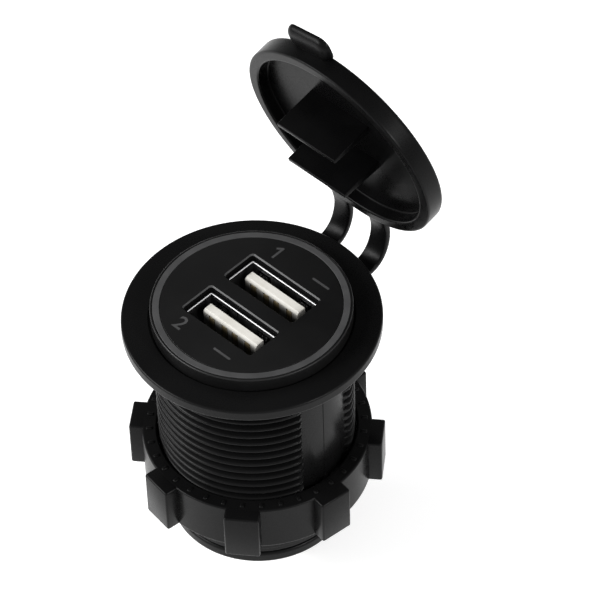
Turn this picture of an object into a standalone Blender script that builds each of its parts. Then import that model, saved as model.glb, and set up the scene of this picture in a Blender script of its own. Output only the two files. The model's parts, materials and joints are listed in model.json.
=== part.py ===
"""Panel-mounted dual USB charging socket with a hinged rubber cover and a clamping ring nut.

Z is the axis of the barrel and points out of the panel, X runs along the ports,
and the origin is the centre of the flange's underside. All sizes are in metres.
"""

import math

import bmesh
import bpy
from mathutils import Matrix

# Clearances
SEAT_GAP = 0.0003
FINE_GAP = 0.0001
MERGE_DISTANCE = 0.000001
ROUND_STEPS = 48
BARREL_STEPS = 36
SMALL_ROUND_STEPS = 24

# Threaded housing
FLANGE_OVERHANG = 0.0042
FLANGE_THICKNESS = 0.00183
FLANGE_EDGE = 0.0003
RECESS_DEPTH = 0.0005
BARREL_LENGTH = 0.0352
BARREL_WALL = 0.0011
RELIEF_LENGTH = 0.0012
RELIEF_DEPTH = 0.0004
THREAD_HEIGHT = 0.0008
THREAD_PITCH = 0.0015
THREAD_CREST_WIDTH = 0.00044
THREAD_ROOT_WIDTH = 0.0011
THREAD_SINK = 0.0003
THREAD_TOP_DEPTH = 0.0034
THREAD_END_MARGIN = 0.0018
THREAD_BAND_ANGLE = math.radians(33.0)
THREAD_BAND_TURN = math.radians(-1.0)
THREAD_RUNOUT_ANGLE = math.radians(1.6)
THREAD_ARC_STEPS = 10

# Face panel and its ring
PANEL_LIP = 0.00225
PANEL_RISE = 0.00202
PANEL_EDGE = 0.0002
PANEL_PLATE = 0.0015
PANEL_SKIRT_WALL = 0.0012
PANEL_BORE_MARGIN = 0.001364
RING_INSET = 0.00135
RING_WIDTH = 0.00092
RING_DEPTH = 0.0007

# Ports
PORT_SPACING = 0.00836
PORT_LENGTH = 0.013
PORT_WIDTH = 0.0131
PORT_HEIGHT = 0.0055
PORT_CORNER = 0.0004
PORT_SETBACK = 0.00095
SHELL_WALL = 0.0003
TONGUE_SIDE_GAP = 0.00105
TONGUE_THICKNESS = 0.0016
TONGUE_OFFSET = 0.0005
TONGUE_SETBACK = 0.0004
TONGUE_BLOCK = 0.0035
CONTACT_PITCHES = (-0.0035, -0.001, 0.001, 0.0035)
CONTACT_WIDTH = 0.001
CONTACT_THICKNESS = 0.00012
CONTACT_SETBACK = 0.0006
SPRING_SPREAD = 0.008
SPRING_WIDTH = 0.0016
SPRING_LENGTH = 0.006
SPRING_SLOPE = 0.002
SPRING_FLAT = 0.001
SPRING_BULGE = 0.0005
SPRING_SETBACK = 0.0009

# Boards and what they carry
FRONT_BOARD_THICKNESS = 0.0016
CONVERTER_BOARD_MARGIN = 0.0004
CONVERTER_BOARD_THICKNESS = 0.0012
INDUCTOR_RADIUS = 0.0042
INDUCTOR_HEIGHT = 0.0052
INDUCTOR_HUB_RADIUS = 0.0021
INDUCTOR_FLANGE = 0.0009
CAPACITOR_RADIUS = 0.00315
CAPACITOR_HEIGHT = 0.0062
CAPACITOR_GROOVE = 0.0003
CAPACITOR_GROOVE_PLACE = 0.0012
CAPACITOR_GROOVE_HALF = 0.0004
CHIP_WIDTH = 0.005
CHIP_LENGTH = 0.006
CHIP_HEIGHT = 0.0015
SMALL_PART_WIDTH = 0.0026
SMALL_PART_LENGTH = 0.0045
SMALL_PART_HEIGHT = 0.0021
COMPONENT_SPREAD = 0.0105
UPPER_ROW_SHARE = 0.24
LOWER_ROW_SHARE = 0.655

# Rear cap and terminals
CAP_RIM_OVERHANG = 0.0003
CAP_PLATE = 0.002
CAP_EDGE = 0.0004
CAP_SKIRT_LENGTH = 0.0042
CAP_SKIRT_WALL = 0.0012
TERMINAL_WIDTH = 0.0063
TERMINAL_THICKNESS = 0.0008
TERMINAL_REACH = 0.008
TERMINAL_TAIL = 0.0045
TERMINAL_TAPER = 0.0012
TERMINAL_HOLE_RADIUS = 0.00085
TERMINAL_HOLE_STEPS = 16
TERMINAL_SPREAD = 0.0105

# Ring nut
NUT_TOP_DEPTH = 0.02156
NUT_HEIGHT = 0.00796
NUT_WALL = 0.00218
NUT_LUG_WIDTH = 0.00508
NUT_LUG_COUNT = 8
NUT_LUG_TURN = math.radians(-7.8)
NUT_EDGE = 0.00025
NUT_FACE_STEP = 0.0002
NUT_CLEARANCE = 0.00025
SERRATION_COUNT = 36
SERRATION_TURN = math.radians(-3.4)
SERRATION_WIDTH = 0.0009
SERRATION_DEPTH = 0.00035

# Rubber cover
COVER_RING_INSET = 0.0015
COVER_RING_THICKNESS = 0.0012
STRAP_WIDTH = 0.0032
STRAP_THICKNESS = 0.001
STRAP_SPACING = 0.0072
STRAP_ROOT_REACH = 0.0014
STRAP_ROOT_BEND_SHARE = 0.486
STRAP_LID_BEND_SHARE = 0.27
STRAP_SAMPLES = 14
LID_INSET = 0.0017
LID_WALL = 0.0018
LID_HEIGHT = 0.0031
LID_TOP = 0.0011
LID_EDGE = 0.0004
LID_LIFT = 0.00022
LID_OPEN_ANGLE = math.radians(77.0)
HINGE_OFFSET = 0.00337
HINGE_HEIGHT = 0.00098
LID_ROOT_REACH = 0.0006
LID_ROOT_DEPTH = 0.0006
TAB_WIDTH = 0.008
TAB_REACH = 0.0033
TAB_THICKNESS = 0.0012
TAB_CORNER = 0.0016
TAB_CORNER_STEPS = 4
TAB_TURN = math.radians(-11.0)
BLADE_SIDE_GAP = 0.0008
BLADE_LENGTH = 0.0071
BLADE_NEAR_FACE = -0.00185
BLADE_FAR_FACE = -0.00045
BLADE_TIP_THICKNESS = 0.00065
BLADE_EDGE = 0.0003
BLADE_SINK = 0.0006

# Sizes that follow from the ones above
PORT_CORNER_RADIUS = math.hypot(PORT_WIDTH / 2, PORT_SPACING / 2 + PORT_HEIGHT / 2)
SKIRT_RADIUS = PORT_CORNER_RADIUS + PANEL_BORE_MARGIN + PANEL_SKIRT_WALL
BORE_RADIUS = SKIRT_RADIUS + SEAT_GAP
BARREL_RADIUS = BORE_RADIUS + BARREL_WALL
THREAD_CREST_RADIUS = BARREL_RADIUS + THREAD_HEIGHT
PANEL_RADIUS = SKIRT_RADIUS + PANEL_LIP
RING_INNER_RADIUS = PANEL_RADIUS - RING_INSET
FLANGE_RADIUS = THREAD_CREST_RADIUS + FLANGE_OVERHANG
NUT_BORE_RADIUS = THREAD_CREST_RADIUS + NUT_CLEARANCE
NUT_RING_RADIUS = NUT_BORE_RADIUS + NUT_WALL
NUT_LUG_RADIUS = FLANGE_RADIUS
COVER_RING_RADIUS = FLANGE_RADIUS - COVER_RING_INSET
STRAP_ROOT_RADIUS = COVER_RING_RADIUS + STRAP_ROOT_REACH
LID_RADIUS = FLANGE_RADIUS - LID_INSET
HINGE_REACH = FLANGE_RADIUS + HINGE_OFFSET
SHELL_INNER_WIDTH = PORT_WIDTH - 2 * SHELL_WALL
SHELL_INNER_HEIGHT = PORT_HEIGHT - 2 * SHELL_WALL
TONGUE_WIDTH = SHELL_INNER_WIDTH - 2 * TONGUE_SIDE_GAP
BLADE_WIDTH = SHELL_INNER_WIDTH - 2 * BLADE_SIDE_GAP
CONVERTER_BOARD_WIDTH = 2 * (SKIRT_RADIUS - CAP_SKIRT_WALL - CONVERTER_BOARD_MARGIN)
FACE_TOP = FLANGE_THICKNESS + PANEL_RISE
PANEL_SEAT = FLANGE_THICKNESS - RECESS_DEPTH + SEAT_GAP
PORT_TOP = FACE_TOP - PORT_SETBACK
PORT_BOTTOM = PORT_TOP - PORT_LENGTH
FRONT_BOARD_TOP = PORT_BOTTOM - SEAT_GAP
FRONT_BOARD_BOTTOM = FRONT_BOARD_TOP - FRONT_BOARD_THICKNESS
CAP_TOP = -BARREL_LENGTH - SEAT_GAP
CAP_BOTTOM = CAP_TOP - CAP_PLATE
CONVERTER_TOP = FRONT_BOARD_BOTTOM - SEAT_GAP
CONVERTER_BOTTOM = CAP_TOP + SEAT_GAP
CONVERTER_Y = -(TERMINAL_THICKNESS + CONVERTER_BOARD_THICKNESS) / 2 - SEAT_GAP
COVER_RING_TOP = -SEAT_GAP
COVER_RING_MIDDLE = COVER_RING_TOP - COVER_RING_THICKNESS / 2
LID_RIM = FLANGE_THICKNESS + LID_LIFT


def rounded_rectangle(width, height, radius, steps=3):
    """Return the outline of a rectangle with rounded corners, anticlockwise."""
    points = []
    corners = ((1, 1, 0), (-1, 1, 1), (-1, -1, 2), (1, -1, 3))
    for side_x, side_y, quarter in corners:
        centre_x = side_x * (width / 2 - radius)
        centre_y = side_y * (height / 2 - radius)
        for step in range(steps + 1):
            angle = (quarter + step / steps) * math.pi / 2
            points.append((centre_x + radius * math.cos(angle), centre_y + radius * math.sin(angle)))
    return points


def circle(radius, steps=ROUND_STEPS, centre=(0, 0)):
    """Return a circle's outline, anticlockwise."""
    points = []
    for step in range(steps):
        angle = 2 * math.pi * step / steps
        points.append((centre[0] + radius * math.cos(angle), centre[1] + radius * math.sin(angle)))
    return points


def make_collection(name):
    collection = bpy.data.collections.new(name)
    bpy.context.scene.collection.children.link(collection)
    return collection


def make_material(name, color, roughness, metallic=0.0):
    material = bpy.data.materials.new(name)
    material.use_nodes = True
    shader = material.node_tree.nodes["Principled BSDF"]
    shader.inputs["Base Color"].default_value = (*color, 1.0)
    shader.inputs["Roughness"].default_value = roughness
    shader.inputs["Metallic"].default_value = metallic
    return material


def place(obj, location=(0, 0, 0), rotation=(0, 0, 0), parent=None):
    obj.location = location
    obj.rotation_euler = rotation
    obj.parent = parent
    return obj


def solid_from(name, mesh, material):
    """Link a mesh as a part, or as a hidden cutter when it has no material."""
    obj = bpy.data.objects.new(name, mesh)
    if material is None:
        cutters.objects.link(obj)
        obj.hide_render = True
        obj.display_type = "WIRE"
    else:
        parts.objects.link(obj)
        mesh.materials.append(material)
    return obj


def turned(name, profile, material, closed=True, steps=ROUND_STEPS):
    """Turn a profile of (radius, height) points about Z, outer side from top to bottom."""
    mesh = bpy.data.meshes.new(name)
    bm = bmesh.new()
    points = [bm.verts.new((radius, 0, height)) for radius, height in profile]
    for first, second in zip(points, points[1:]):
        bm.edges.new((first, second))
    if closed:
        bm.edges.new((points[-1], points[0]))
    bm.to_mesh(mesh)
    bm.free()
    obj = solid_from(name, mesh, material)
    screw = obj.modifiers.new("Turn", "SCREW")
    screw.steps = steps
    screw.render_steps = steps
    screw.use_merge_vertices = True
    screw.merge_threshold = MERGE_DISTANCE
    return obj


def extruded(name, outlines, depth, material):
    """Extrude flat outlines, holes included, to a slab centred on its own plane."""
    curve = bpy.data.curves.new(name, "CURVE")
    curve.dimensions = "2D"
    curve.fill_mode = "BOTH"
    curve.extrude = depth / 2
    for outline in outlines:
        spline = curve.splines.new("POLY")
        spline.points.add(len(outline) - 1)
        for point, (x, y) in zip(spline.points, outline):
            point.co = (x, y, 0, 1)
        spline.use_cyclic_u = True
    sketch = bpy.data.objects.new(name, curve)
    cutters.objects.link(sketch)
    depsgraph = bpy.context.evaluated_depsgraph_get()
    mesh = bpy.data.meshes.new_from_object(sketch.evaluated_get(depsgraph))
    bpy.data.objects.remove(sketch)
    bpy.data.curves.remove(curve)
    bm = bmesh.new()
    bm.from_mesh(mesh)
    bmesh.ops.remove_doubles(bm, verts=bm.verts, dist=MERGE_DISTANCE)
    bmesh.ops.recalc_face_normals(bm, faces=bm.faces)
    bm.to_mesh(mesh)
    bm.free()
    mesh.materials.clear()
    return solid_from(name, mesh, material)


def box(name, size, material):
    mesh = bpy.data.meshes.new(name)
    bm = bmesh.new()
    bmesh.ops.create_cube(bm, size=1)
    bmesh.ops.scale(bm, vec=size, verts=bm.verts)
    bm.to_mesh(mesh)
    bm.free()
    return solid_from(name, mesh, material)


def combine(obj, other, operation):
    modifier = obj.modifiers.new(other.name, "BOOLEAN")
    modifier.operation = operation
    modifier.object = other
    modifier.solver = "EXACT"
    return obj


def round_edges(obj, width, segments=2, angle=math.radians(40.0)):
    bevel = obj.modifiers.new("Round", "BEVEL")
    bevel.width = width
    bevel.segments = segments
    bevel.limit_method = "ANGLE"
    bevel.angle_limit = angle
    return obj


for old in list(bpy.data.objects):
    bpy.data.objects.remove(old)

parts = make_collection("car_dual_usb_socket")
cutters = make_collection("cutters")

black_plastic = make_material("black_plastic", (0.018, 0.018, 0.019), 0.42)
panel_plastic = make_material("panel_plastic", (0.014, 0.014, 0.015), 0.36)
grey_plastic = make_material("grey_plastic", (0.075, 0.075, 0.078), 0.45)
black_rubber = make_material("black_rubber", (0.03, 0.03, 0.03), 0.62)
bright_steel = make_material("bright_steel", (0.78, 0.78, 0.79), 0.24, 1.0)
pale_nylon = make_material("pale_nylon", (0.78, 0.77, 0.73), 0.5)
gold_contact = make_material("gold_contact", (0.83, 0.62, 0.28), 0.28, 1.0)
board_green = make_material("board_green", (0.02, 0.12, 0.05), 0.5)
ferrite = make_material("ferrite", (0.05, 0.05, 0.052), 0.7)
copper = make_material("copper", (0.72, 0.32, 0.15), 0.35, 1.0)
can_aluminium = make_material("can_aluminium", (0.72, 0.73, 0.74), 0.35, 1.0)
chip_resin = make_material("chip_resin", (0.02, 0.02, 0.022), 0.55)
tinned_brass = make_material("tinned_brass", (0.7, 0.68, 0.62), 0.3, 1.0)

UPRIGHT = (math.pi / 2, 0, 0)
SIDEWAYS = (math.pi / 2, 0, math.pi / 2)
PORT_CENTRES = {"near": -PORT_SPACING / 2, "far": PORT_SPACING / 2}


def thread_ridges():
    """Build the helical ridge as half turns that stop at a smooth band on each side."""
    crest = THREAD_CREST_WIDTH / 2
    root = THREAD_ROOT_WIDTH / 2
    inner = BARREL_RADIUS - THREAD_SINK
    section = ((inner, root), (THREAD_CREST_RADIUS, crest), (THREAD_CREST_RADIUS, -crest), (inner, -root))
    arc = math.pi - THREAD_BAND_ANGLE
    first_angle = THREAD_BAND_TURN + THREAD_BAND_ANGLE / 2
    bottom = -BARREL_LENGTH + RELIEF_LENGTH + THREAD_END_MARGIN
    half_turns = int((-THREAD_TOP_DEPTH - bottom) / (THREAD_PITCH / 2))
    bm = bmesh.new()
    for half_turn in range(half_turns):
        start = first_angle + half_turn * math.pi
        height = bottom + half_turn * THREAD_PITCH / 2
        ring = []
        for radius, offset in section:
            ring.append(bm.verts.new((radius * math.cos(start), radius * math.sin(start), height + offset)))
        face = bm.faces.new(ring)
        rise = THREAD_PITCH * arc / (2 * math.pi) / THREAD_ARC_STEPS
        spun = bmesh.ops.spin(
            bm,
            geom=[face],
            cent=(0, 0, 0),
            axis=(0, 0, 1),
            dvec=(0, 0, rise),
            angle=arc,
            steps=THREAD_ARC_STEPS,
            use_duplicate=False,
        )
        last = [item for item in spun["geom_last"] if isinstance(item, bmesh.types.BMFace)][0]
        taper_end(bm, face, -THREAD_RUNOUT_ANGLE)
        taper_end(bm, last, THREAD_RUNOUT_ANGLE)
    bmesh.ops.recalc_face_normals(bm, faces=bm.faces)
    mesh = bpy.data.meshes.new("thread_ridges")
    bm.to_mesh(mesh)
    bm.free()
    return solid_from("thread_ridges", mesh, None)


def taper_end(bm, face, turn):
    """Run a ridge's end face on by a small angle while its crest drops to the barrel."""
    grown = bmesh.ops.extrude_face_region(bm, geom=[face])["geom"]
    cosine = math.cos(turn)
    sine = math.sin(turn)
    for item in grown:
        if not isinstance(item, bmesh.types.BMVert):
            continue
        x, y, z = item.co
        radius = math.hypot(x, y)
        reach = min(radius, BARREL_RADIUS - THREAD_SINK / 2) / radius
        item.co = ((x * cosine - y * sine) * reach, (x * sine + y * cosine) * reach, z)
    if face.is_valid and face not in grown:
        bmesh.ops.delete(bm, geom=[face], context="FACES_ONLY")


housing = turned(
    "threaded_housing",
    (
        (PANEL_RADIUS + SEAT_GAP, FLANGE_THICKNESS),
        (FLANGE_RADIUS - FLANGE_EDGE, FLANGE_THICKNESS),
        (FLANGE_RADIUS, FLANGE_THICKNESS - FLANGE_EDGE),
        (FLANGE_RADIUS, FLANGE_EDGE),
        (FLANGE_RADIUS - FLANGE_EDGE, 0),
        (BARREL_RADIUS, 0),
        (BARREL_RADIUS, -BARREL_LENGTH + RELIEF_LENGTH),
        (BARREL_RADIUS - RELIEF_DEPTH, -BARREL_LENGTH + RELIEF_LENGTH),
        (BARREL_RADIUS - RELIEF_DEPTH, -BARREL_LENGTH),
        (BORE_RADIUS, -BARREL_LENGTH),
        (BORE_RADIUS, FLANGE_THICKNESS - RECESS_DEPTH),
        (PANEL_RADIUS + SEAT_GAP, FLANGE_THICKNESS - RECESS_DEPTH),
    ),
    black_plastic,
    steps=BARREL_STEPS,
)
combine(housing, thread_ridges(), "UNION")

groove_inner = RING_INNER_RADIUS - FINE_GAP
groove_outer = RING_INNER_RADIUS + RING_WIDTH + FINE_GAP
groove_floor = FACE_TOP - RING_DEPTH - FINE_GAP
panel = turned(
    "face_panel",
    (
        (0, FACE_TOP),
        (groove_inner, FACE_TOP),
        (groove_inner, groove_floor),
        (groove_outer, groove_floor),
        (groove_outer, FACE_TOP),
        (PANEL_RADIUS - PANEL_EDGE, FACE_TOP),
        (PANEL_RADIUS, FACE_TOP - PANEL_EDGE),
        (PANEL_RADIUS, PANEL_SEAT),
        (SKIRT_RADIUS, PANEL_SEAT),
        (SKIRT_RADIUS, PORT_BOTTOM),
        (SKIRT_RADIUS - PANEL_SKIRT_WALL, PORT_BOTTOM),
        (SKIRT_RADIUS - PANEL_SKIRT_WALL, FACE_TOP - PANEL_PLATE),
        (0, FACE_TOP - PANEL_PLATE),
    ),
    panel_plastic,
    closed=False,
)
turned(
    "face_ring",
    (
        (RING_INNER_RADIUS, FACE_TOP),
        (RING_INNER_RADIUS + RING_WIDTH, FACE_TOP),
        (RING_INNER_RADIUS + RING_WIDTH, FACE_TOP - RING_DEPTH),
        (RING_INNER_RADIUS, FACE_TOP - RING_DEPTH),
    ),
    grey_plastic,
)


def make_port(side, centre):
    """Cut one port's opening and fill it with a shell, a tongue and its contacts."""
    opening = extruded(
        "opening_" + side,
        [rounded_rectangle(PORT_WIDTH + 2 * FINE_GAP, PORT_HEIGHT + 2 * FINE_GAP, PORT_CORNER + FINE_GAP)],
        PANEL_PLATE + 2 * SEAT_GAP,
        None,
    )
    place(opening, (0, centre, FACE_TOP - PANEL_PLATE / 2))
    combine(panel, opening, "DIFFERENCE")

    inner_corner = PORT_CORNER - SHELL_WALL
    shell = extruded(
        "port_shell_" + side,
        [
            rounded_rectangle(PORT_WIDTH, PORT_HEIGHT, PORT_CORNER),
            rounded_rectangle(SHELL_INNER_WIDTH, SHELL_INNER_HEIGHT, inner_corner),
        ],
        PORT_LENGTH,
        bright_steel,
    )
    place(shell, (0, centre, PORT_TOP - PORT_LENGTH / 2))
    spring_wall = SHELL_INNER_HEIGHT / 2 + SHELL_WALL / 2
    spring_top = PORT_LENGTH / 2 - SPRING_SETBACK
    for number, spring_side in enumerate((-1, 1)):
        spring = extruded(
            "spring_" + side + "_" + str(number),
            [
                (
                    (spring_wall, spring_top),
                    (SHELL_INNER_HEIGHT / 2, spring_top),
                    (SHELL_INNER_HEIGHT / 2 - SPRING_BULGE, spring_top - SPRING_SLOPE),
                    (SHELL_INNER_HEIGHT / 2 - SPRING_BULGE, spring_top - SPRING_SLOPE - SPRING_FLAT),
                    (SHELL_INNER_HEIGHT / 2, spring_top - SPRING_LENGTH),
                    (spring_wall, spring_top - SPRING_LENGTH),
                )
            ],
            SPRING_WIDTH,
            None,
        )
        place(spring, (spring_side * SPRING_SPREAD / 2, 0, 0), SIDEWAYS, shell)
        combine(shell, spring, "UNION")

    plate_top = PORT_TOP - TONGUE_SETBACK
    block_top = PORT_BOTTOM + TONGUE_BLOCK
    tongue_near = TONGUE_OFFSET - TONGUE_THICKNESS / 2
    tongue = extruded(
        "port_tongue_" + side,
        [
            rounded_rectangle(
                SHELL_INNER_WIDTH - 2 * FINE_GAP, SHELL_INNER_HEIGHT - 2 * FINE_GAP, inner_corner
            )
        ],
        TONGUE_BLOCK,
        pale_nylon,
    )
    place(tongue, (0, centre, PORT_BOTTOM + TONGUE_BLOCK / 2))
    plate_length = plate_top - PORT_BOTTOM - TONGUE_BLOCK / 2
    plate = box("plate_" + side, (TONGUE_WIDTH, TONGUE_THICKNESS, plate_length), None)
    place(plate, (0, TONGUE_OFFSET, plate_length / 2), (0, 0, 0), tongue)
    combine(tongue, plate, "UNION")
    contact_top = plate_top - CONTACT_SETBACK
    contact_length = contact_top - PORT_BOTTOM
    groove_depth = CONTACT_THICKNESS + FINE_GAP
    for number, offset in enumerate(CONTACT_PITCHES):
        groove = box(
            "groove_" + side + "_" + str(number),
            (CONTACT_WIDTH + 2 * FINE_GAP, groove_depth + FINE_GAP, contact_length + 2 * FINE_GAP),
            None,
        )
        groove_y = tongue_near + (groove_depth - FINE_GAP) / 2
        place(groove, (offset, centre + groove_y, contact_top - contact_length / 2))
        combine(tongue, groove, "DIFFERENCE")
        contact = box(
            side + "_contact_" + str(number + 1),
            (CONTACT_WIDTH, CONTACT_THICKNESS, contact_length),
            gold_contact,
        )
        contact_y = centre + tongue_near + CONTACT_THICKNESS / 2
        place(contact, (offset, contact_y, contact_top - contact_length / 2))


for side, centre in PORT_CENTRES.items():
    make_port(side, centre)

front_board = extruded("front_board", [circle(SKIRT_RADIUS)], FRONT_BOARD_THICKNESS, board_green)
place(front_board, (0, 0, (FRONT_BOARD_TOP + FRONT_BOARD_BOTTOM) / 2))
converter_board = box(
    "converter_board",
    (CONVERTER_BOARD_WIDTH, CONVERTER_BOARD_THICKNESS, CONVERTER_TOP - CONVERTER_BOTTOM),
    board_green,
)
place(converter_board, (0, CONVERTER_Y, (CONVERTER_TOP + CONVERTER_BOTTOM) / 2))

front_face = CONVERTER_Y + CONVERTER_BOARD_THICKNESS / 2 + SEAT_GAP
back_face = CONVERTER_Y - CONVERTER_BOARD_THICKNESS / 2 - SEAT_GAP
upper_row = CONVERTER_TOP - UPPER_ROW_SHARE * (CONVERTER_TOP - CONVERTER_BOTTOM)
lower_row = CONVERTER_TOP - LOWER_ROW_SHARE * (CONVERTER_TOP - CONVERTER_BOTTOM)
left_column = -COMPONENT_SPREAD / 2
right_column = COMPONENT_SPREAD / 2
OUT_OF_FRONT = (-math.pi / 2, 0, 0)
OUT_OF_BACK = (math.pi / 2, 0, 0)

inductor_core = turned(
    "inductor_core",
    (
        (0, INDUCTOR_HEIGHT),
        (INDUCTOR_RADIUS, INDUCTOR_HEIGHT),
        (INDUCTOR_RADIUS, INDUCTOR_HEIGHT - INDUCTOR_FLANGE),
        (INDUCTOR_HUB_RADIUS, INDUCTOR_HEIGHT - INDUCTOR_FLANGE),
        (INDUCTOR_HUB_RADIUS, INDUCTOR_FLANGE),
        (INDUCTOR_RADIUS, INDUCTOR_FLANGE),
        (INDUCTOR_RADIUS, 0),
        (0, 0),
    ),
    ferrite,
    closed=False,
    steps=SMALL_ROUND_STEPS,
)
place(inductor_core, (left_column, front_face, upper_row), OUT_OF_FRONT)
inductor_winding = turned(
    "inductor_winding",
    (
        (INDUCTOR_HUB_RADIUS + FINE_GAP, INDUCTOR_HEIGHT - INDUCTOR_FLANGE - FINE_GAP),
        (INDUCTOR_RADIUS - SEAT_GAP, INDUCTOR_HEIGHT - INDUCTOR_FLANGE - FINE_GAP),
        (INDUCTOR_RADIUS - SEAT_GAP, INDUCTOR_FLANGE + FINE_GAP),
        (INDUCTOR_HUB_RADIUS + FINE_GAP, INDUCTOR_FLANGE + FINE_GAP),
    ),
    copper,
    steps=SMALL_ROUND_STEPS,
)
place(inductor_winding, (left_column, front_face, upper_row), OUT_OF_FRONT)
for number, column in enumerate((left_column, right_column)):
    capacitor = turned(
        "capacitor_" + str(number + 1),
        (
            (0, CAPACITOR_HEIGHT),
            (CAPACITOR_RADIUS - CAPACITOR_GROOVE, CAPACITOR_HEIGHT),
            (CAPACITOR_RADIUS, CAPACITOR_HEIGHT - CAPACITOR_GROOVE),
            (CAPACITOR_RADIUS, CAPACITOR_GROOVE_PLACE + CAPACITOR_GROOVE_HALF),
            (CAPACITOR_RADIUS - CAPACITOR_GROOVE, CAPACITOR_GROOVE_PLACE),
            (CAPACITOR_RADIUS, CAPACITOR_GROOVE_PLACE - CAPACITOR_GROOVE_HALF),
            (CAPACITOR_RADIUS, 0),
            (0, 0),
        ),
        can_aluminium,
        closed=False,
        steps=SMALL_ROUND_STEPS,
    )
    place(capacitor, (column, back_face, upper_row), OUT_OF_BACK)


def board_part(name, width, height, length, column, row, face, outward):
    """Stand a rectangular component on one face of the converter board."""
    obj = box(name, (width, height, length), chip_resin)
    round_edges(obj, FINE_GAP, 1)
    return place(obj, (column, face + outward * height / 2, row))


board_part("converter_chip", CHIP_WIDTH, CHIP_HEIGHT, CHIP_LENGTH, right_column, upper_row, front_face, 1)
board_part("port_chip", CHIP_WIDTH, CHIP_HEIGHT, CHIP_LENGTH, left_column, lower_row, back_face, -1)
board_part(
    "diode", SMALL_PART_WIDTH, SMALL_PART_HEIGHT, SMALL_PART_LENGTH, right_column, lower_row, back_face, -1
)
board_part("fuse", SMALL_PART_WIDTH, SMALL_PART_HEIGHT, SMALL_PART_LENGTH, 0, lower_row, front_face, 1)

cap_radius = BARREL_RADIUS - CAP_RIM_OVERHANG
rear_cap = turned(
    "rear_cap",
    (
        (0, CAP_TOP),
        (SKIRT_RADIUS - CAP_SKIRT_WALL, CAP_TOP),
        (SKIRT_RADIUS - CAP_SKIRT_WALL, CAP_TOP + CAP_SKIRT_LENGTH),
        (SKIRT_RADIUS, CAP_TOP + CAP_SKIRT_LENGTH),
        (SKIRT_RADIUS, CAP_TOP),
        (cap_radius - CAP_EDGE, CAP_TOP),
        (cap_radius, CAP_TOP - CAP_EDGE),
        (cap_radius, CAP_BOTTOM + CAP_EDGE),
        (cap_radius - CAP_EDGE, CAP_BOTTOM),
        (0, CAP_BOTTOM),
    ),
    black_plastic,
    closed=False,
)
for name, direction in (("terminal_positive", 1), ("terminal_negative", -1)):
    half = TERMINAL_WIDTH / 2
    low = CAP_BOTTOM - TERMINAL_REACH
    high = CAP_TOP + TERMINAL_TAIL
    terminal = extruded(
        name,
        [
            (
                (half, high),
                (-half, high),
                (-half, low + TERMINAL_TAPER),
                (-half + TERMINAL_TAPER, low),
                (half - TERMINAL_TAPER, low),
                (half, low + TERMINAL_TAPER),
            ),
            circle(TERMINAL_HOLE_RADIUS, TERMINAL_HOLE_STEPS, (0, low + TERMINAL_REACH / 2)),
        ],
        TERMINAL_THICKNESS,
        tinned_brass,
    )
    place(terminal, (direction * TERMINAL_SPREAD / 2, 0, 0), UPRIGHT)
    slot = box(
        "slot_" + name,
        (TERMINAL_WIDTH + 2 * FINE_GAP, TERMINAL_THICKNESS + 2 * FINE_GAP, CAP_PLATE + 2 * SEAT_GAP),
        None,
    )
    place(slot, (direction * TERMINAL_SPREAD / 2, 0, (CAP_TOP + CAP_BOTTOM) / 2))
    combine(rear_cap, slot, "DIFFERENCE")


def nut_lugs():
    """Stand a block with rounded edges on the ring for each of the nut's lugs."""
    root = (NUT_RING_RADIUS + NUT_BORE_RADIUS) / 2
    size = (NUT_LUG_RADIUS - root, NUT_LUG_WIDTH, NUT_HEIGHT - NUT_FACE_STEP)
    bm = bmesh.new()
    bmesh.ops.create_cube(bm, size=1)
    bmesh.ops.scale(bm, vec=size, verts=bm.verts)
    bmesh.ops.bevel(
        bm, geom=bm.edges, offset=NUT_EDGE, affect="EDGES", segments=1, profile=0.5, material=-1
    )
    bmesh.ops.translate(bm, vec=(root + size[0] / 2, 0, -NUT_FACE_STEP / 2), verts=bm.verts)
    bmesh.ops.rotate(bm, matrix=Matrix.Rotation(NUT_LUG_TURN, 3, "Z"), verts=bm.verts)
    lug = list(bm.verts) + list(bm.edges) + list(bm.faces)
    for number in range(1, NUT_LUG_COUNT):
        copy = bmesh.ops.duplicate(bm, geom=lug)["geom"]
        turn = Matrix.Rotation(2 * math.pi * number / NUT_LUG_COUNT, 3, "Z")
        verts = [item for item in copy if isinstance(item, bmesh.types.BMVert)]
        bmesh.ops.rotate(bm, matrix=turn, verts=verts)
    mesh = bpy.data.meshes.new("nut_lugs")
    bm.to_mesh(mesh)
    bm.free()
    return solid_from("nut_lugs", mesh, None)


def serration_bars():
    """Lay a diamond bar across the nut's top face for each of its radial grooves."""
    half = SERRATION_WIDTH / 2
    length = NUT_WALL + 2 * SERRATION_WIDTH
    flatten = Matrix.Diagonal((SERRATION_DEPTH / half, 1, 1, 1))
    lay_down = Matrix.Rotation(math.pi / 2, 4, "Y")
    move_out = Matrix.Translation(((NUT_RING_RADIUS + NUT_BORE_RADIUS) / 2, 0, NUT_HEIGHT / 2))
    bm = bmesh.new()
    for number in range(SERRATION_COUNT):
        turn = Matrix.Rotation(SERRATION_TURN + 2 * math.pi * number / SERRATION_COUNT, 4, "Z")
        bar = bmesh.ops.create_cone(
            bm, cap_ends=True, segments=4, radius1=half, radius2=half, depth=length
        )
        bmesh.ops.transform(bm, matrix=turn @ move_out @ lay_down @ flatten, verts=bar["verts"])
    bmesh.ops.recalc_face_normals(bm, faces=bm.faces)
    mesh = bpy.data.meshes.new("serration_bars")
    bm.to_mesh(mesh)
    bm.free()
    return solid_from("serration_bars", mesh, None)


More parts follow.
